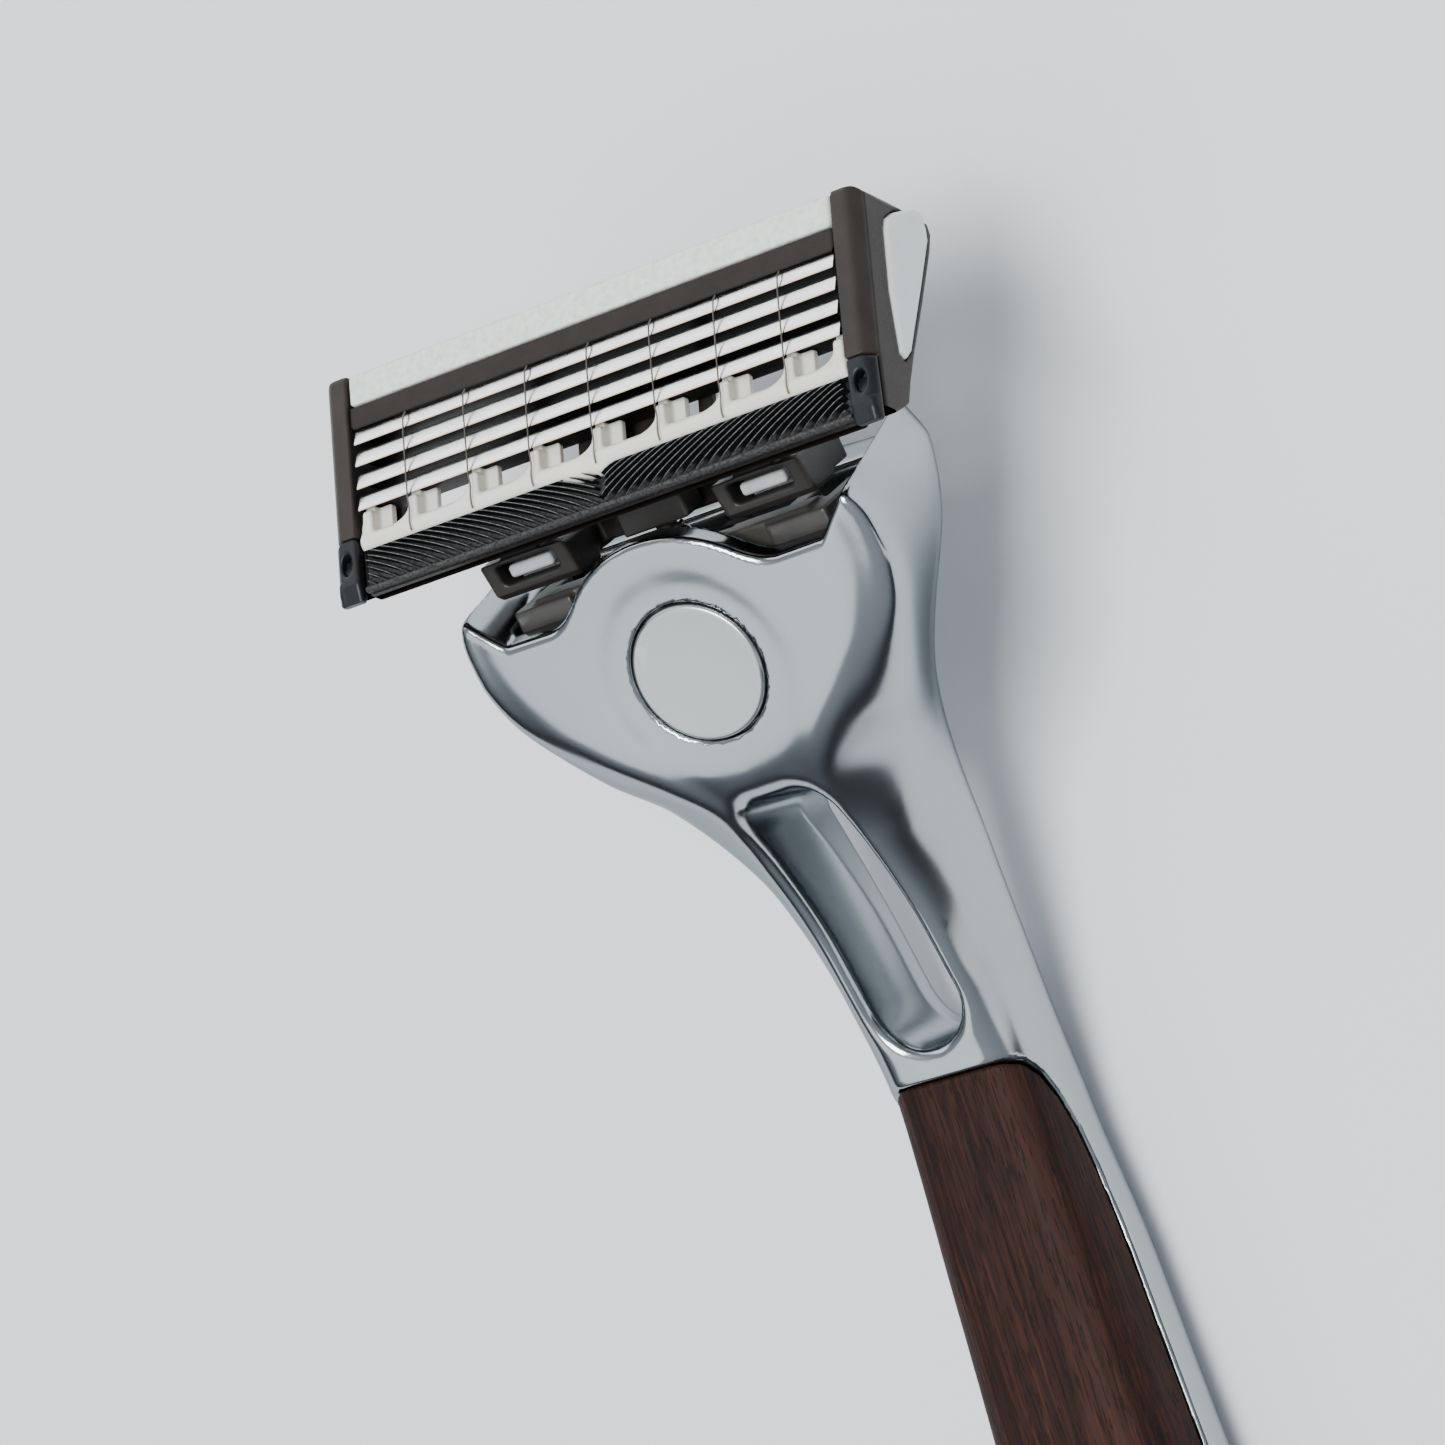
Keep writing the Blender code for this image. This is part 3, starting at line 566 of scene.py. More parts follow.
# The finish of each of the record's material slots.
MATERIALS = {
    "handle_metal": plated_metal("satin_plating", (0.41, 0.44, 0.455), 0.17, 0.08),
    "button_metal": plated_metal("button_plating", (0.54, 0.56, 0.545), 0.34, 0.14),
    "wood": wood_material(),
    "housing_plastic": moulded("housing_plastic", (0.019, 0.0148, 0.0126), 0.50, 0.010, 7.0, 0.12,
        (0.15, 1, 1), Specular_IOR_Level=0.22),
    "cap_plastic": moulded("cap_plastic", (0.028, 0.0225, 0.0195), 0.48, 0.022, 6.0, 0.15,
        Specular_IOR_Level=0.25),
    "carrier_plastic": moulded("carrier_plastic", (0.021, 0.0182, 0.0165), 0.42, Specular_IOR_Level=0.35),
    "mechanism_plastic": moulded("chassis_plastic", (0.042, 0.040, 0.037), 0.34, Specular_IOR_Level=0.4),
    "catch_plastic": moulded("catch_plastic", (0.42, 0.45, 0.48), 0.30, 0.004),
    "insert_plastic": moulded("insert_plastic", (0.80, 0.83, 0.84), 0.22, 0.003, 5.0, 0.02,
        Subsurface_Weight=0.15, Subsurface_Scale=0.001),
    "comb_plastic": moulded("ivory_plastic", (0.80, 0.78, 0.70), 0.24, 0.003, 5.0, 0.03,
        Subsurface_Weight=0.2, Subsurface_Scale=0.001),
    "lug_rubber": moulded("lug_rubber", (0.009, 0.0112, 0.0135), 0.40, Specular_IOR_Level=0.3),
    "strip_polymer": strip_material(),
    "guard_rubber": fin_material(),
    "blade_steel": fine_steel("blade_steel", (0.86, 0.86, 0.84), 0.24, (0.06, 1, 1), 0.003),
    # The blade supports are real steel strips, but their near-black colour is painted shade for the slots
    # seen between the blades.
    "support_steel": fine_steel("support_steel", (0.05, 0.046, 0.042), 0.5),
    "wire_steel": fine_steel("wire_steel", (0.26, 0.23, 0.20), 0.34),
    "spring_steel": fine_steel("spring_steel", (0.70, 0.70, 0.70), 0.26),
    "screw_steel": fine_steel("screw_steel", (0.60, 0.60, 0.60), 0.30),
    "peg_brass": fine_steel("peg_brass", (0.72, 0.56, 0.30), 0.30),
}
MATERIALS["pin_steel"] = MATERIALS["wire_steel"]
EDGE_STEEL = fine_steel("honed_edge", (0.66, 0.50, 0.36), 0.16, (0.06, 1, 1), 0.002)


# Handle

def curve_values(curve, y):
    """A lengthwise curve read at every y, smoothly through all of its points."""
    knots, values = np.array(sorted(curve), float).T
    slopes = np.zeros(len(knots))
    rising = (values[2:] - values[1:-1]) * (values[1:-1] - values[:-2]) > 0
    slopes[1:-1] = np.where(rising, (values[2:] - values[:-2]) / (knots[2:] - knots[:-2]), 0)
    y = np.clip(y, knots[0], knots[-1])
    i = np.clip(np.searchsorted(knots, y, "right") - 1, 0, len(knots) - 2)
    span = knots[i + 1] - knots[i]
    t = (y - knots[i]) / span
    start = (2 * t**3 - 3 * t**2 + 1) * values[i] + (t**3 - 2 * t**2 + t) * span * slopes[i]
    end = (3 * t**2 - 2 * t**3) * values[i + 1] + (t**3 - t**2) * span * slopes[i + 1]
    return start + end


SECTION_STEPS = 14
# How many points skin() measures at a time, to spare memory.
CHUNK = 20000


def half_outlines(y):
    """Right half of the handle's section at every y, front middle to back middle, as (y, point, axis)."""
    front, back = curve_values(FRONT_LINE, y), curve_values(BACK_LINE, y)
    crease = curve_values(CREASE_HALF_WIDTH, y)
    shoulder, shoulder_z = curve_values(SHOULDER_HALF_WIDTH, y), curve_values(SHOULDER_LINE, y)
    flank, flank_z = curve_values(FLANK_HALF_WIDTH, y), curve_values(FLANK_LINE, y)
    middle = np.zeros_like(y)
    controls = [(middle, front), (middle, front), (crease * 0.5, front), (crease, front - 0.35),
        (shoulder, shoulder_z), (flank, flank_z), (flank - 1.1, back + 0.75), (flank * 0.6, back),
        (flank * 0.3, back), (middle, back), (middle, back)]
    points = np.stack([np.stack(control, -1) for control in controls], -2)
    t = (np.arange(SECTION_STEPS) / SECTION_STEPS)[:, None]
    spans = []
    for k in range(len(controls) - 3):
        p0, p1, p2, p3 = (points[..., k + i, None, :] for i in range(4))
        spans.append(0.5 * (2 * p1 + (p2 - p0) * t + (2 * p0 - 5 * p1 + 4 * p2 - p3) * t**2
            + (3 * p1 - p0 - 3 * p2 + p3) * t**3))
    outline = np.concatenate([*spans, points[..., -1:, :]], -2)
    past_end = np.maximum(0, HANDLE_END + END_ROUNDING - y) / END_ROUNDING
    shrink = np.sqrt(np.maximum(1 - past_end**2, 0.12))[..., None]
    centre = ((front + back) / 2)[..., None]
    return np.stack([outline[..., 0] * shrink, centre + (outline[..., 1] - centre) * shrink], -1)


def outline_distance(x, z, outline):
    """Signed distance from (x, z) to each point's own half outline, whose last axes are point and axis."""
    a, b = outline[..., :-1, :], outline[..., 1:, :]
    step = b - a
    dx, dz = x[..., None] - a[..., 0], z[..., None] - a[..., 1]
    length2 = np.maximum((step**2).sum(-1), 1e-12)
    along = np.clip((dx * step[..., 0] + dz * step[..., 1]) / length2, 0, 1)
    nearest = ((dx - step[..., 0] * along) ** 2 + (dz - step[..., 1] * along) ** 2).min(-1)
    spans = (a[..., 1] > z[..., None]) != (b[..., 1] > z[..., None])
    rise = np.where(step[..., 1] == 0, 1, step[..., 1])
    crossed = spans & (dx < dz * step[..., 0] / rise)
    return np.where(crossed.sum(-1) % 2 == 1, -1, 1) * np.sqrt(nearest)


def skin(x, y, z):
    """Distance from the handle's outer skin, measured across it."""
    x = np.abs(x)
    if np.ndim(x) == 3:
        across, upright = np.broadcast_arrays(x[:, 0, :], z[:, 0, :])
        sections = half_outlines(y.ravel())
        return np.stack([outline_distance(across, upright, section) for section in sections], 1)
    chunks = np.array_split(np.arange(len(x)), max(1, len(x) // CHUNK))
    return np.concatenate([outline_distance(x[c], z[c], half_outlines(y[c])) for c in chunks])


def in_head(y, z):
    """(b, n) of points given in the razor's frame."""
    along_y, along_z = HEAD_UP.y, HEAD_UP.z
    return y * along_y + z * along_z, z * along_y - y * along_z


def slot_field(x, y, z):
    """The opening through the neck, with a waist where the two halves of the mould met."""
    below = curve_values(FRONT_LINE, y) - z
    narrower = np.interp(below, [-8, 0, 6, 9, 16], [-0.9, 0.05, 1.1, 0.75, 0.4])
    middle = (SLOT_TOP + SLOT_END) / 2
    x = np.abs(x) / (1 - narrower / SLOT_HALF_WIDTH)
    y = middle + (y - middle) / (1 - narrower / (SLOT_TOP - SLOT_END))
    corner = np.maximum(x - SLOT_HALF_WIDTH, y - SLOT_TOP) + SLOT_CORNER
    beyond = np.hypot(np.maximum(x - SLOT_HALF_WIDTH + SLOT_CORNER, 0), np.maximum(y - SLOT_TOP
        + SLOT_CORNER, 0))
    upper = beyond + np.minimum(corner, 0) - SLOT_CORNER
    lower = np.hypot(x, np.maximum(SLOT_END + SLOT_HALF_WIDTH - y, 0)) - SLOT_HALF_WIDTH
    return np.where(y > middle, upper, lower)


def wood_outline(gap):
    """Side outline of the bed of the wood in y and z; gap shrinks it for the wood itself."""
    top, end, floor = WOOD_TOP - gap, WOOD_END + gap, SPINE_FRONT + gap
    return [(top, 5), (top, -14.0), (top - 0.5, -15.1), (top - 1.6, -16.2 + gap), (top - 3.4, -17.2 + gap),
        (top - 5.7, -18.0 + gap), (top - 8.5, -18.4 + gap), (top - 12, floor), (end + 9, floor),
        (end + 5, -17.9 + gap), (end + 2, -16.4 + gap), (end + 0.4, -14.4), (end, 5)]


def pocket_field(x, b, n):
    """What is cut from the top of the head: everything above the pockets, except the round lobe."""
    rise = np.maximum(np.abs(x) - CAVITY_HALF_WIDTH + 0.15, 0) * EAR_RISE_OUTWARD
    floor = POCKET_FLOOR + rise - EAR_RISE_BACKWARD * n
    trough = (floor - b) * 0.8
    lobe = np.maximum(rod(x, b, (0, 0), LOBE_RADIUS), -FRONT_WALL - 1 - n)
    return smooth_max(trough, -lobe, 1.3)


def handle_field(x, y, z):
    b, n = in_head(y, z)
    radius = np.hypot(x, b)
    shape = skin(x, y, z)
    dish = np.clip((DISH_RADIUS - radius) / DISH_SLOPE, 0, 1)
    shape = shape + DISH_DEPTH * dish**2 * (3 - 2 * dish) * np.clip(n + 1.5, 0, 1)
    shape = smooth_max(shape, HANDLE_END - y, 1.2)
    shape = smooth_max(shape, y - HEAD_TOP, 0.8)
    shape = carve(shape, polygon(y, z, wood_outline(0)), 0.25)
    shape = carve(shape, slot_field(x, y, z), 1.1)
    plan = [(CAVITY_HALF_WIDTH, 30), (-CAVITY_HALF_WIDTH, 30), (-CAVITY_HALF_WIDTH, 4.6), (-7.6, -5.3),
        (7.6, -5.3), (CAVITY_HALF_WIDTH, 4.6)]
    hollow = smooth_max(polygon(x, b, plan), slab(n, -7.6, -FRONT_WALL), 0.5)
    deep = smooth_max(slab(x, -CAVITY_HALF_WIDTH, CAVITY_HALF_WIDTH), slab(n, CAVITY_BACK, -5.2), 0.5)
    hollow = join(hollow, np.maximum(deep, 1.4 - b), 0.4)
    shape = carve(shape, join(hollow, pocket_field(x, b, n), 0.3), 0.5)
    shape = carve(shape, np.maximum(radius - BUTTON_RADIUS - BUTTON_GAP, -3 - n), 0.25)
    well = join(rod(x, b, (0, SCREW_B), 2.2) + np.maximum(n + 11.2, 0), rod(x, b, (0, SCREW_B), 1.15), 0.1)
    shape = carve(shape, np.maximum(well, n + 9), 0.2)
    for place in PEG_PLACES:
        shape = carve(shape, np.maximum(rod(x, y, (0, place), 1.3), -21 - z), 0.15)
    return shape


def wood_field(x, y, z):
    """The grip block: the handle's skin set in a little, with softened edges and slight ridges of grain."""
    grain = ripple(3.1 * x + 1.3 * z + 0.05 * y, 1.9 * z - 2.3 * x + 0.04 * y, 5.3 * x - 3.7 * z + 0.09 * y)
    shape = skin(x, y, z) + WOOD_INSET + 0.02 * grain
    shape = smooth_max(shape, polygon(y, z, wood_outline(WOOD_GAP)), 0.45)
    for place in PEG_PLACES:
        shape = carve(shape, np.maximum(rod(x, y, (0, place), 1.3), z + 15.9), 0.15)
    return shape


def make_handle():
    across = step_axis([(-16.8, 0.3), (16.8, 0.3)])
    lengthwise = step_axis([(HANDLE_END - 0.6, 0.35), (HANDLE_END + 6, 0.9), (WOOD_TOP - 14, 0.45),
        (WOOD_TOP - 2, 0.3), (HEAD_TOP + 0.9, 0.3)])
    upright = step_axis([(-24.0, 0.3), (4.6, 0.3)])
    field_piece("handle_casting", "handle_body", handle_field, (across, lengthwise, upright), RAZOR,
        reach=0.3)
    across = step_axis([(-9, 0.3), (9, 0.3)])
    lengthwise = step_axis([(WOOD_END - 0.9, 0.35), (WOOD_END + 3, 0.8), (WOOD_TOP - 14, 0.5),
        (WOOD_TOP - 3, 0.3), (WOOD_TOP + 0.9, 0.3)])
    upright = step_axis([(-19.5, 0.3), (-12.0, 0.3)])
    field_piece("wood_grip", "wood_inlay", wood_field, (across, lengthwise, upright), RAZOR)


# Mechanism

def make_button():
    """Release button: a flat disc with a softly broken edge, on a flange and a stem."""
    rim = [(BUTTON_RADIUS + 0.35, -2.7), (BUTTON_RADIUS + 0.35, -2.15), (BUTTON_RADIUS, -2.15),
        (BUTTON_RADIUS, BUTTON_TOP)]
    edge = [(BUTTON_RADIUS - BUTTON_EDGE + BUTTON_EDGE * math.cos(math.radians(a)),
        BUTTON_TOP + BUTTON_EDGE * math.sin(math.radians(a))) for a in range(15, 91, 15)]
    dish = [(4.05, -0.175), (3.85, -0.19)]
    stem = [(0.6, -6.2), (1.0, -6.2), (1.6, -5.4), (1.6, -2.7)]
    loft_piece("button_disc", "release_button", [turned([*stem, *rim, *edge, *dish], 96)], HEAD)


def coil_path(radius, wire, length, turns):
    rise = (length - 2 * wire) / turns
    steps = 40
    for i in range(turns * steps + 1):
        angle = 2 * math.pi * i / steps
        yield radius * math.cos(angle), radius * math.sin(angle), wire + rise * i / steps


def make_springs():
    """Two coils, each standing on a fixed end and carried by its spring's body."""
    base = Vector((0, 0, -5.1))
    coil = [(x, y, base.z + z) for x, y, z in coil_path(2.4, 0.22, 2.3, 3)]
    spring = loft_piece("button_coil", "button_spring", [tube(coil, 0.22, 12)], HEAD)
    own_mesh(spring)
    base = Vector((0, 5.35, PLUNGER_N))
    coil = [(x, base.y + z, base.z - y) for x, y, z in coil_path(1.15, 0.2, 3.4, 4)]
    spring = loft_piece("plunger_coil", "plunger_spring", [tube(coil, 0.2, 12)], HEAD)
    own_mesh(spring)


def chassis_field(x, b, n):
    side = np.abs(x)
    shape = block(x, b, n, (-7.8, -4.2, -6.2), (7.8, 5.2, -5.3), 0.15)
    lug = [(7.6, 1.8), (10.3, 1.8), (12.1, 5.0), (12.1, 6.9), (7.6, 6.9)]
    lugs = prism(n, side, b, lug, -8.7, -2.4, 0.3)
    lugs = carve(lugs, block(side, b, n, (8.7, 6.2, -9), (10.9, 8, -3.4), 0.2), 0.2)
    shelf = [(4.2, 5.0), (11.5, 5.0), (11.5, 6.2), (10.6, 7.15), (4.2, 7.15)]
    shelf = prism(n, side, b, shelf, -5.2, -3.0, 0.25)
    shape = join(shape, join(lugs, shelf, 0.25), 0.3)
    shape = join(shape, block(x, b, n, (-8.0, 2.2, -8.7), (8.0, 5.8, -7.6), 0.15), 0.3)
    shape = join(shape, np.maximum(rod(x, b, (0, SCREW_B), 2.2), slab(n, -10.0, -8.2)), 0.2)
    shape = join(shape, block(x, b, n, (-3.0, 4.3, -5.8), (3.0, 5.25, -3.95), 0.12), 0.2)
    shape = carve(shape, np.maximum(rod(x, b, (0, 0), 1.9), slab(n, -7, -4)), 0.15)
    shape = carve(shape, np.maximum(rod(x, n, (0, PLUNGER_N), 0.9), slab(b, 3.0, 6.0)), 0.15)
    return carve(shape, np.maximum(rod(x, b, (0, SCREW_B), 1.0), n + 7.0), 0.15)


def ejector_field(x, b, n):
    shape = block(x, b, n, (-7.2, -4.4, -7.35), (7.2, 6.6, -6.45), 0.15)
    return carve(shape, block(x, b, n, (-2.3, -3.4, -9), (2.3, 2.9, -5), 0.3), 0.15)


def plunger_field(x, b, n):
    nose = np.maximum(rod(b, n, (12.4, PLUNGER_N), 1.15), 8.95 - b)
    tongue = join(nose, block(0, b, n, (-1, 8.95, PLUNGER_N - 1.15), (1, 12.4, PLUNGER_N + 1.15), 0.1), 0.1)
    tongue = smooth_max(tongue, slab(x, -2.6, 2.6), 0.4)
    return join(tongue, np.maximum(rod(x, n, (0, PLUNGER_N), 0.7), slab(b, 5.5, 9.5)), 0.2)


def screw_field(x, b, n):
    b = b - SCREW_B
    head = smooth_max(np.hypot(x, b) - 2.05, slab(n, -12.2, -11.35), 0.2)
    shank = smooth_max(np.hypot(x, b) - 0.85, slab(n, -12, -7.8), 0.3)
    thread = 0.06 * np.cos((n * 2.2 - np.arctan2(b, x) / (2 * math.pi)) * 2 * math.pi)
    across = [np.abs(x * math.cos(a) + b * math.sin(a)) for a in (0, math.pi / 3, 2 * math.pi / 3)]
    hexagon = np.maximum(np.maximum(*across[:2]), across[2]) - 0.75
    return carve(join(head, shank + thread, 0.1), np.maximum(hexagon, n + 11.75), 0.08)


def carrier_field(x, b, n):
    """Yoke behind the cartridge: two windowed blocks, the arms that hold the pins and a cross bar."""
    side = np.abs(x)
    middle = (BLOCK_INNER + BLOCK_OUTER) / 2
    outline = [(7.95, -2.4), (8.35, -1.9), (10.6, -1.5), (10.6, -7.4), (8.35, -7.4), (8.35, -5.2),
        (7.95, -5.0)]
    blocks = smooth_max(polygon(b, n, outline), slab(side, BLOCK_INNER, BLOCK_OUTER), 0.4)
    shape = join(block(x, b, n, (-7, 8.6, -7.4), (7, 10.4, -5.95), 0.25), blocks, 0.4)
    arm = join(rod(b, n, (PIVOT_B, PIVOT_N), 1.5), block(b, n, 0, (9.35, -4.2, -1), (12.3, -1.6, 1), 0.1),
        0.5)
    shape = join(shape, smooth_max(arm, slab(side, ARM_INNER, ARM_OUTER), 0.3), 0.3)
    window = block(side, b, n, (middle - 2.25, 8.9, -5), (middle + 2.25, 10.3, 0), 0.4)
    shape = carve(shape, window, 0.22)
    shape = carve(shape, block(side, b, n, (middle - 1.85, 7, -6.1), (middle + 1.85, 10.15, -3.2), 0.2),
        0.2)
    bore = np.maximum(rod(b, n, (PIVOT_B, PIVOT_N), PIN_RADIUS + 0.05), slab(side, ARM_INNER - 1,
        ARM_OUTER + 1))
    return carve(shape, bore, 0.1)


# Pieces made from fields in the head's frame: name, CAD node, field, lowest and highest corner, cell size.
MECHANISM_FIELDS = [
    ("chassis_block", "head_chassis", chassis_field, (-12.2, -4.3, -10.1), (12.2, 7.1, -2.3), 0.24),
    ("ejector_slide_plate", "ejector_plate", ejector_field, (-7.3, -4.5, -7.4), (7.3, 6.7, -6.4), 0.25),
    ("plunger_tongue", "plunger", plunger_field, (-2.7, 5.4, -5.6), (2.7, 13.6, -3.2), 0.16),
    ("chassis_screw_threaded", "chassis_screw", screw_field, (-2.1, 1.8, -12.3), (2.1, 6.0, -7.7), 0.11),
    ("carrier_yoke", "carrier", carrier_field, (-12.5, 8.2, -7.5), (12.5, 13.9, -1.1), 0.17),
]


def make_mechanism():
    make_button()
    make_springs()
    for name, node, field, low, high, cell in MECHANISM_FIELDS:
        field_piece(name, node, field, even_axes(low, high, cell), HEAD)
    for side, hand in ((-1, "left"), (1, "right")):
        centre = side * (BLOCK_INNER + BLOCK_OUTER) / 2

        def catch_field(x, b, n, centre=centre):
            tongue = block(x - centre, b, n, (-1.7, 8.6, -5.9), (1.7, 10.0, -3.4), 0.15)
            return join(tongue, block(x - centre, b, n, (-1.7, 9.15, -5), (1.7, 10.0, -2.1), 0.25), 0.2)

        axes = even_axes((centre - 1.8, 8.5, -6.0), (centre + 1.8, 10.1, -2.0), 0.13)
        field_piece(f"snap_catch_{hand}", f"catch_{hand}", catch_field, axes, HEAD)
        near, far = sorted((side * PIN_INNER, side * PIN_OUTER))
        ends = ((near, 0.4), (near + 0.12, PIN_RADIUS), (far - 0.12, PIN_RADIUS), (far, 0.4))
        pin = [[(x, PIVOT_B + p, PIVOT_N + q) for p, q in circle(r, 32)] for x, r in ends]
        loft_piece(f"hinge_pin_{hand}", f"pivot_pin_{hand}", [pin], HEAD)
    for name, y in zip(("upper", "lower"), PEG_PLACES):
        peg = turned([(1.0, -20.8), (1.2, -20.5), (1.2, -16.3), (1.0, -16.0)], 48, (0, y))
        loft_piece(f"brass_peg_{name}", f"inlay_peg_{name}", [peg], RAZOR)


# Cartridge

def on_face(field):
    """A field of (x, down, deep) as one of the cartridge frame's coordinates."""
    return lambda x, y, z: field(x, PIVOT_DOWN - y, PIVOT_DEEP - z)


def face_axes(low, high, cell):
    """Grid over a range of (x, down, deep)."""
    return even_axes((low[0], PIVOT_DOWN - high[1], PIVOT_DEEP - high[2]), (high[0], PIVOT_DOWN - low[1],
        PIVOT_DEEP - low[2]), cell)


def face_point(x, down, deep):
    return x, PIVOT_DOWN - down, PIVOT_DEEP - deep


def housing_field(x, down, deep):
    """Moulded frame: the rail over the blades, the lower lip, ribs, a seat plate and the bearing lugs."""
    side = np.abs(x)
    ends = slab(x, -HALF_WINDOW, HALF_WINDOW)
    rail = [(2.25, 0.05), (3.85, 0.05), (3.78, 0.2), (3.45, 0.32), (3.45, 3.2), (3.3, 4.4), (-0.1, 4.4),
        (-0.1, 1.85), (2.25, 1.85)]
    lip = [(11.6, 2.1), (12.2, 1.35), (14.9, 1.35), (14.9, 0.82), (15.32, 0.95), (15.32, 1.7), (13.6, 3.0),
        (11.6, 3.0)]
    shape = smooth_max(join(polygon(down, deep, rail), polygon(down, deep, lip), 0.1), ends, 0.15)
    rib = polygon(down, deep, [(3.0, 3.15), (10.2, 3.15), (12.5, 2.6), (12.5, 3.0), (11.6, 3.5),
        (3.0, 4.35)])
    for place in (6.4, 18.3):
        shape = join(shape, smooth_max(rib, np.abs(side - place) - 0.55, 0.2), 0.3)
    pad = polygon(down, deep, [(7.4, 3.15), (10.2, 3.15), (11.6, 2.5), (12.0, 2.9), (11.2, 3.57),
        (7.4, 3.57)])
    shape = join(shape, smooth_max(pad, side - 3.5, 0.2), 0.2)
    bar = polygon(down, deep, [(6.9, 3.15), (7.9, 3.15), (7.9, 3.57), (6.9, 3.57)])
    shape = join(shape, smooth_max(bar, side - 18.5, 0.1), 0.2)
    hinge = (PIVOT_DOWN, PIVOT_DEEP)
    lug = join(rod(down, deep, hinge, 1.45), block(down, deep, 0, (11.0, 2.6, -1), (13.3, 3.6, 1), 0.1),
        0.2)
    for near, far in ((6.2, 7.3), (10.9, 12.0)):
        shape = join(shape, smooth_max(lug, slab(side, near, far), 0.15), 0.2)
    notch = np.maximum(rod(down, deep, hinge, 1.78), slab(side, ARM_INNER - 0.25, ARM_OUTER + 0.25))
    shape = carve(shape, notch, 0.15)
    bore = np.maximum(rod(down, deep, hinge, PIN_RADIUS + 0.06), slab(side, 5.8, 12.4))
    return carve(shape, bore, 0.06)


def strip_field(x, down, deep):
    """Lubricating strip with worn, lumpy edges."""
    lumps = ripple(2.1 * x + 1.1 * down, 3.7 * x - 2.9 * deep, 5.9 * x + 4.3 * down,
        1.3 * x - 3.1 * down + deep)
    flakes = ripple(9.1 * x + 7.3 * down, 11.7 * x - 8.9 * deep, 7.7 * down - 6.1 * x)
    outline = [(-0.1, 0.35), (0.2, -0.02), (2.1, -0.02), (2.18, 0.1), (2.18, 1.75), (-0.1, 1.75)]
    shape = polygon(down, deep, outline) + 0.035 + 0.022 * lumps + 0.012 * flakes
    return smooth_max(shape, np.abs(x) - HALF_WINDOW + 0.05, 0.35)


COMB_TOP = 8.97
COMB_BOTTOM = 11.4
COMB_BACK = 1.9


def comb_field(x, down, deep):
    """Ivory comb: a round bar under the last blade with a post at each wire and pockets between them."""
    bulge = 0.42 * np.exp(-((x + 0.9) / 1.7) ** 4)
    log = rod(down - bulge * np.clip((down - 11.5) / 0.5, 0, 1), deep, (11.45, 0.85), 0.68)
    heel = polygon(down, deep, [(11.1, 0.9), (11.9, 0.9), (12.1, 1.15), (11.5, 2.0), (10.9, 2.0)])
    shape = join(log, heel, 0.2)
    for number in range(-1, WIRE_COUNT + 1):
        place = (number - WIRE_COUNT // 2) * WIRE_PITCH
        place = max(-HALF_WINDOW + 0.6, min(HALF_WINDOW - 0.6, place))
        post = block(x - place, down, deep, (-0.36, 9.45, 0.33), (0.36, COMB_BOTTOM, COMB_BACK), 0.2)
        post = join(post, block(x - place, down, deep, (-0.36, COMB_TOP, 0.75), (0.36, COMB_BOTTOM,
            COMB_BACK), 0.15), 0.2)
        sweep = 1.15 * np.clip((down - 9.75) / 1.2, 0, 1) ** 2
        wing = smooth_max(slab(x - place, -0.3 - sweep, 0.3), slab(deep, 0.4, COMB_BACK), 0.3)
        wing = np.maximum(wing, slab(down, 9.45, COMB_BOTTOM))
        wall = block(x - place - 0.9, down, deep, (-0.9, COMB_TOP, 1.4), (0.35, COMB_BOTTOM, COMB_BACK),
            0.06)
        shape = join(shape, join(join(post, wing, 0.15), wall, 0.25), 0.3)
        seam = np.hypot(x - place - 0.06 * np.sin(down * 4.0), shape) - 0.035
        shape = carve(shape, np.where((np.abs(x - place) < 1.0) & (down > 10.9), seam, 9.0), 0.08)
    shape = np.maximum(shape, COMB_TOP - down)
    return smooth_max(shape, np.abs(x) - HALF_WINDOW + 0.05, 0.2)


def cap_field(x, down, deep):
    """End cap, drawn for the right side, with a broken front edge and the seat of the insert."""
    outline = [(-0.05, 0.1), (0.3, -0.05), (3.5, -0.1), (11.1, -0.1), (11.1, 0.85), (15.25, 1.05),
        (13.9, 3.2), (13.5, 3.75), (12.0, 4.15), (10.1, 4.8), (5.9, 6.45), (2.2, 7.8), (0.95, 8.1),
        (0.2, 7.75), (-0.2, 7.1), (-0.52, 6.3), (-0.52, 4.4), (-0.36, 2.8), (-0.1, 1.2)]
    profile = polygon(down, deep, outline)
    chamfer = (x - 20.37 - deep) * 0.707
    side = smooth_max(x - CAP_OUTER, chamfer, 0.12)
    groove = -np.minimum(np.abs(deep - 0.85) * 1.5 - 0.12, 0) * 0.5
    top_break = (x - CAP_OUTER + 0.45 - (down + 0.1)) * 0.6
    shape = smooth_max(profile, np.maximum(side + groove, top_break), 0.25)
    shape = smooth_max(shape, CAP_INNER - x, 0.12)
    seat = polygon(down, deep, INSERT) - 0.06
    return carve(shape, np.maximum(seat, CAP_OUTER - 0.7 - x), 0.12)


INSERT = [(1.45, 2.9), (0.7, 3.9), (-0.3, 6.2), (-0.25, 6.95), (0.8, 7.4), (1.6, 7.45), (5.3, 6.1),
    (10.1, 4.25), (10.7, 3.7), (10.45, 3.1), (6.45, 2.6), (2.2, 2.65)]


def insert_field(x, down, deep):
    outline = [(4.5 + 0.985 * (a - 4.5), 4.8 + 0.98 * (b - 4.8)) for a, b in INSERT]
    return smooth_max(polygon(down, deep, outline), slab(x, CAP_OUTER - 0.62, CAP_OUTER + 0.22), 0.35)


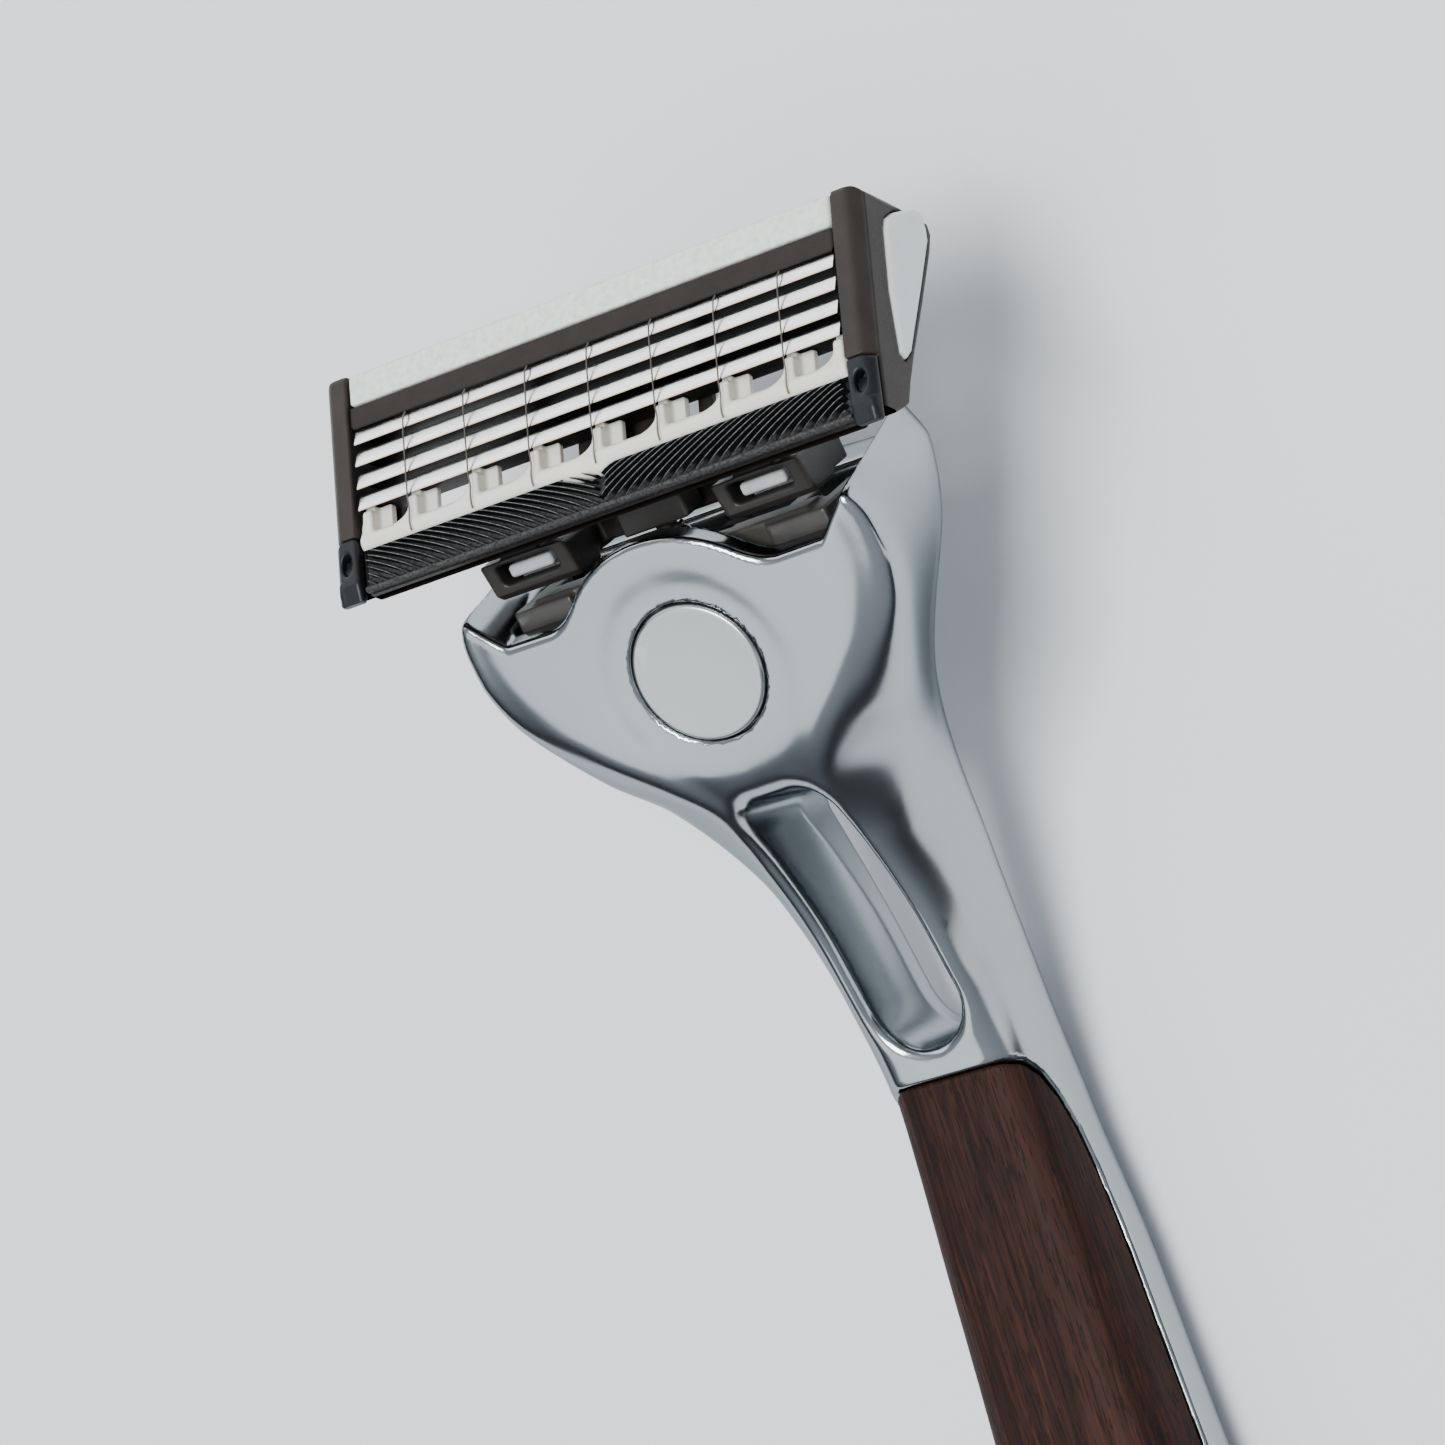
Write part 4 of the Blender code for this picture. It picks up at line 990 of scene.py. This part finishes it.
def lug_field(x, down, deep):
    """Soft corner with an oval dimple in its front."""
    outline = [(11.2, -0.06), (14.2, 0.0), (15.38, 0.3), (15.3, 0.93), (11.2, 0.73)]
    chamfer = (x - 20.5 - deep) * 0.707
    shape = smooth_max(polygon(down, deep, outline), np.maximum(smooth_max(x - CAP_OUTER, chamfer, 0.2),
        CAP_INNER - x), 0.3)
    spur = np.hypot(x - 20.55, deep - 0.35) - 0.22 + 0.35 * np.maximum(down - 14.6, 0)
    shape = join(shape, np.maximum(spur, slab(down, 14.0, 15.35)), 0.25)
    across, along = (x - 19.95) / 0.42, (down - 12.75) / 0.72
    dimple = (np.hypot(across, along) - 1) * 0.42
    floor = deep - 0.5 + 0.25 * along
    return carve(shape, np.maximum(dimple, floor), 0.22)


# Outlines of a blade and its support, as (distance behind the edge, deep).
BLADE_SECTION = [(0, 0.06), (0.08, 0.07), (0.92, 0.27), (1.05, 0.34), (1.15, 0.46), (1.22, 0.62),
    (1.26, 0.82), (1.15, 0.85), (1.05, 0.62), (0.90, 0.47), (0.42, 0.29)]
SUPPORT_SECTION = [(0.98, 0.78), (0.76, 0.56), (0.6, 0.54), (0.52, 0.7), (0.62, 2.9), (0.8, 2.9),
    (0.70, 0.9), (0.78, 0.78), (0.90, 0.9)]
BLADE_HALF = 18.75
BLADE_FULL = 18.68
SUPPORT_HALF = 18.6
HONED_WIDTH = 0.10
HONED_HALF = 18.7


def make_blades():
    """Honed blades on their bent supports."""
    for number, edge in enumerate(BLADE_EDGES, 1):
        middle = (edge - 0.7, 0.3)
        blade = []
        for x, inset in ((-BLADE_HALF, 0.93), (-BLADE_FULL, 1.0), (BLADE_FULL, 1.0), (BLADE_HALF, 0.93)):
            blade.append([face_point(x, middle[0] + (edge - back - middle[0]) * inset,
                middle[1] + (deep - middle[1]) * inset) for back, deep in BLADE_SECTION])
        piece = loft_piece(f"honed_blade_{number}", f"blade_{number}", [blade], CARTRIDGE)
        piece.data.materials.append(EDGE_STEEL)
        for face in piece.data.polygons:
            centre = CARTRIDGE.inverted() @ face.center
            honed = PIVOT_DOWN - centre.y > edge - HONED_WIDTH and abs(centre.x) < HONED_HALF
            face.material_index = int(honed)
        support = [[face_point(x, edge - back, deep) for back, deep in SUPPORT_SECTION]
            for x in (-SUPPORT_HALF, SUPPORT_HALF)]
        loft_piece(f"blade_carrier_strip_{number}", f"blade_support_{number}", [support], CARTRIDGE)


def make_wires():
    """Fine wires from the rail over the four edges to the comb, each a little bowed."""
    for number in range(WIRE_COUNT):
        centre = (number - WIRE_COUNT // 2) * WIRE_PITCH
        lean = 0.04 * math.sin(2.1 * number)
        path = []
        for i in range(WIRE_STEPS + 1):
            down = WIRE_TOP + (WIRE_END - WIRE_TOP) * i / WIRE_STEPS
            under_rail = max(0.0, 4.2 - down)
            past_edge = max(0.0, down - 9.6)
            bow = 0.16 * math.exp(-(down - WIRE_TOP) / 0.7) + lean * (down - 8) / 4
            wave = 0.07 * math.sin(2.6 * past_edge) * min(1.0, past_edge)
            deep = -0.06 + 0.5 * under_rail + 0.07 * past_edge + 0.055 * max(0.0, down - 11.0) ** 2
            path.append(face_point(centre + bow + wave, down, deep))
        loft_piece(f"guard_wire_{number + 1}", f"wire_{number + 1}", [tube(path, WIRE_RADIUS, 10)],
            CARTRIDGE)


FIN_SPACING = 0.89
FIN_TOP = 12.12
FIN_BOTTOM = 14.62
FIN_LIMIT = 18.7
FIN_STEPS = 16
FIN_FOOT = 0.95
# Points in each of a fin's rings, and the numbers of those on its crest.
FIN_POINTS = 8
FIN_CREST = (3, 4)
# Where the smooth band starts, and what share of the grey painted as a highlight on the fin crests it
# takes.
SLATE_BAND_TOP = 14.15
SLATE = 0.30
FIN_TURN = 2.5
FIN_EASE = 0.22


def fin_reach(t):
    """How far a fin has run towards the middle, t below its upper end: flat at first and then steeper."""
    return FIN_TURN * t - FIN_EASE * t**2


def fin_rings(start, side):
    """Rings of one thin curved fin; start is how far from the middle its upper end lies."""
    length = FIN_BOTTOM - FIN_TOP
    run = [length * i / FIN_STEPS for i in range(FIN_STEPS + 1)]
    run = [t for t in run if 0.08 <= start - fin_reach(t) <= FIN_LIMIT]
    if len(run) < 3:
        return None
    rings = []
    for i, t in enumerate(run):
        place = start - fin_reach(t)
        slope = math.atan(FIN_TURN - 2 * FIN_EASE * t)
        across = (math.cos(slope), math.sin(slope))
        from_end = min(i, len(run) - 1 - i)
        crest = 0.10 + 0.16 * (t / length) ** 4 + 0.14 * math.exp(-1.2 * from_end)
        thick = 1 + 0.9 * max(0.0, t / length - 0.72) / 0.28
        flank = [(0.022, crest), (0.028, crest + 0.02), (0.055 * thick, crest + 0.14),
            (0.11 * thick, FIN_FOOT)]
        outline = [(-offset, deep) for offset, deep in reversed(flank)] + flank
        ring = []
        for offset, deep in outline:
            x = side * (place + offset * across[0])
            ring.append(face_point(x, FIN_TOP + t + offset * across[1], deep))
        rings.append(ring if side > 0 else ring[::-1])
    return rings


def make_rubber_guard():
    """Finned rubber: a trough with curved fins that meet in a chevron, and a smooth band below them."""
    base = [(12.0, 0.45), (12.05, 0.4), (12.10, 0.5), (12.16, 0.85), (14.2, 0.85), (14.36, 0.62),
        (14.48, 0.44), (14.58, 0.38), (14.72, 0.42), (14.8, 0.55), (14.8, 1.2), (12.25, 1.2), (12.0, 1.0)]
    half = HALF_WINDOW - 0.1
    shapes = [[[face_point(x, a, b) for a, b in base] for x in (-half, half)]]
    count = math.ceil((FIN_LIMIT + fin_reach(FIN_BOTTOM - FIN_TOP)) / FIN_SPACING) - 1
    for side in (-1, 1):
        for number in range(count):
            shapes.append(fin_rings(0.45 + number * FIN_SPACING, side))
    shapes = [rings for rings in shapes if rings]
    guard = loft_piece("finned_guard", "rubber_guard", shapes, CARTRIDGE, sharp=50)
    # Each point's share of the grey highlight painted in the rubber material: all of it on fin crests,
    # SLATE on the smooth band, none elsewhere.
    highlight_share = guard.data.attributes.new("highlight_share", "FLOAT", "POINT")
    inward = CARTRIDGE.inverted()
    base_points = 2 * len(base)
    values = []
    for i, vertex in enumerate(guard.data.vertices):
        if PIVOT_DOWN - (inward @ vertex.co).y > SLATE_BAND_TOP:
            values.append(SLATE)
        else:
            on_crest = i >= base_points and (i - base_points) % FIN_POINTS in FIN_CREST
            values.append(1.0 if on_crest else 0.0)
    highlight_share.data.foreach_set("value", values)


def make_cartridge():
    def add(name, node, field, low, high, cell):
        field_piece(name, node, on_face(field), face_axes(low, high, cell), CARTRIDGE)

    edge = HALF_WINDOW
    add("blade_frame", "cartridge_housing", housing_field, (-edge, -0.1, 0), (edge, 14.6, 5.1), 0.17)
    add("wax_strip", "lubricating_strip", strip_field, (-edge, -0.1, 0), (edge, 2.2, 1.75), 0.16)
    add("ivory_comb", "guard_bar", comb_field, (-edge, 8.95, 0.1), (edge, 12.5, 2.0), 0.13)
    for side, hand in ((-1, "left"), (1, "right")):
        low_x, high_x = sorted((side * CAP_INNER, side * (CAP_OUTER + 0.22)))
        for name, node, field, low, high, cell in (
                ("clasp", "end_cap", cap_field, (-0.5, -0.1), (14.2, 8.0), 0.15),
                ("side_badge", "end_insert", insert_field, (-0.4, 2.5), (10.6, 7.4), 0.14),
                ("soft_corner", "corner_lug", lug_field, (11.1, -0.1), (15.4, 2.4), 0.11)):
            def mirrored(x, down, deep, side=side, field=field):
                return field(side * x, down, deep)

            add(f"{name}_{hand}", f"{node}_{hand}", mirrored, (low_x, *low), (high_x, *high), cell)
    make_blades()
    make_wires()
    make_rubber_guard()


# Stage

# The floor, in metres: where it starts to curve up, the curve's radius, its upper edge and its half width.
FLOOR_FLAT = 1.2
FLOOR_BEND = 0.9
FLOOR_TOP = 2.6
FLOOR_HALF = 3.0


def make_stage():
    """A plain pale floor that curves up far behind."""
    profile = [(-2.5, 0.0), (FLOOR_FLAT, 0.0)]
    for a in range(9, 91, 9):
        turn = math.radians(a)
        profile.append((FLOOR_FLAT + FLOOR_BEND * math.sin(turn), FLOOR_BEND - FLOOR_BEND * math.cos(turn)))
    profile.append((2.1, FLOOR_TOP))
    points = [(x, y, z) for x in (-FLOOR_HALF, FLOOR_HALF) for y, z in profile]
    count = len(profile)
    faces = [(i, count + i, count + i + 1, i + 1) for i in range(count - 1)]
    mesh = bpy.data.meshes.new("studio_floor")
    mesh.from_pydata(points, [], faces)
    mesh.shade_smooth()
    mesh.materials.append(floor_material())
    floor = bpy.data.objects.new("studio_floor", mesh)
    bpy.context.scene.collection.objects.link(floor)


def softbox(name, place, target, size, power, colour=(1, 1, 1)):
    lamp = bpy.data.lights.new(name, "AREA")
    lamp.shape = "RECTANGLE"
    lamp.size, lamp.size_y = size
    lamp.energy = power
    lamp.color = colour
    light = bpy.data.objects.new(name, lamp)
    light.location = place
    light.rotation_euler = (Vector(target) - Vector(place)).to_track_quat("-Z", "Y").to_euler()
    bpy.context.scene.collection.objects.link(light)


def make_light():
    world = bpy.data.worlds.new("studio_air")
    bpy.context.scene.world = world
    world.use_nodes = True
    nodes = Nodes(world.node_tree)
    background = nodes.tree.nodes["Background"].inputs
    background["Strength"].default_value = 1.0
    upward = nodes.add("SeparateXYZ", "Z", Vector=nodes.add("TexCoord", "Generated"))
    stops = [(0.0, (0.20, 0.22, 0.25)), (0.50, (0.03, 0.032, 0.036)), (0.60, (0.05, 0.053, 0.06)),
        (0.76, (0.34, 0.38, 0.42)), (1.0, (0.52, 0.56, 0.60))]
    nodes.feed(background["Color"], nodes.ramp(nodes.add("MapRange", "Result", Value=upward, From_Min=-1),
        stops))
    middle = (0.0, 0.03, 0.02)
    softbox("key_light", (0.10, 0.25, 1.25), middle, (0.60, 0.60), 21.0, (1.0, 0.99, 0.97))
    softbox("face_panel", (-0.50, -0.30, 0.75), middle, (0.60, 0.60), 1.45, (0.95, 0.98, 1.0))
    softbox("back_panel", (-0.42, 0.62, 0.34), middle, (0.62, 0.50), 1.9)
    softbox("low_panel", (-0.44, 0.74, 0.09), middle, (0.55, 0.16), 0.45)
    softbox("side_panel", (0.62, -0.25, 0.10), middle, (0.16, 0.5), 0.35)


# Camera, in the world's metres: its place and the directions of its right and upper edges.
CAMERA_PLACE = (0.202753, 0.041260, 0.344433)
CAMERA_RIGHT = (0.804, -0.309, -0.508)
CAMERA_UP = (0.265, 0.951, -0.160)
CAMERA_LENS = 152.1


def make_camera():
    right = Vector(CAMERA_RIGHT).normalized()
    back = right.cross(Vector(CAMERA_UP)).normalized()
    turn = Matrix((right, back.cross(right), back)).transposed().to_4x4()
    data = bpy.data.cameras.new("camera")
    data.sensor_width = 36
    data.lens = CAMERA_LENS
    data.clip_start, data.clip_end = 0.01, 20
    camera = bpy.data.objects.new("camera", data)
    camera.matrix_world = Matrix.Translation(CAMERA_PLACE) @ turn
    bpy.context.scene.collection.objects.link(camera)
    bpy.context.scene.camera = camera


make_camera()
make_stage()
make_light()
make_handle()
make_mechanism()
make_cartridge()

bpy.context.view_layer.update()
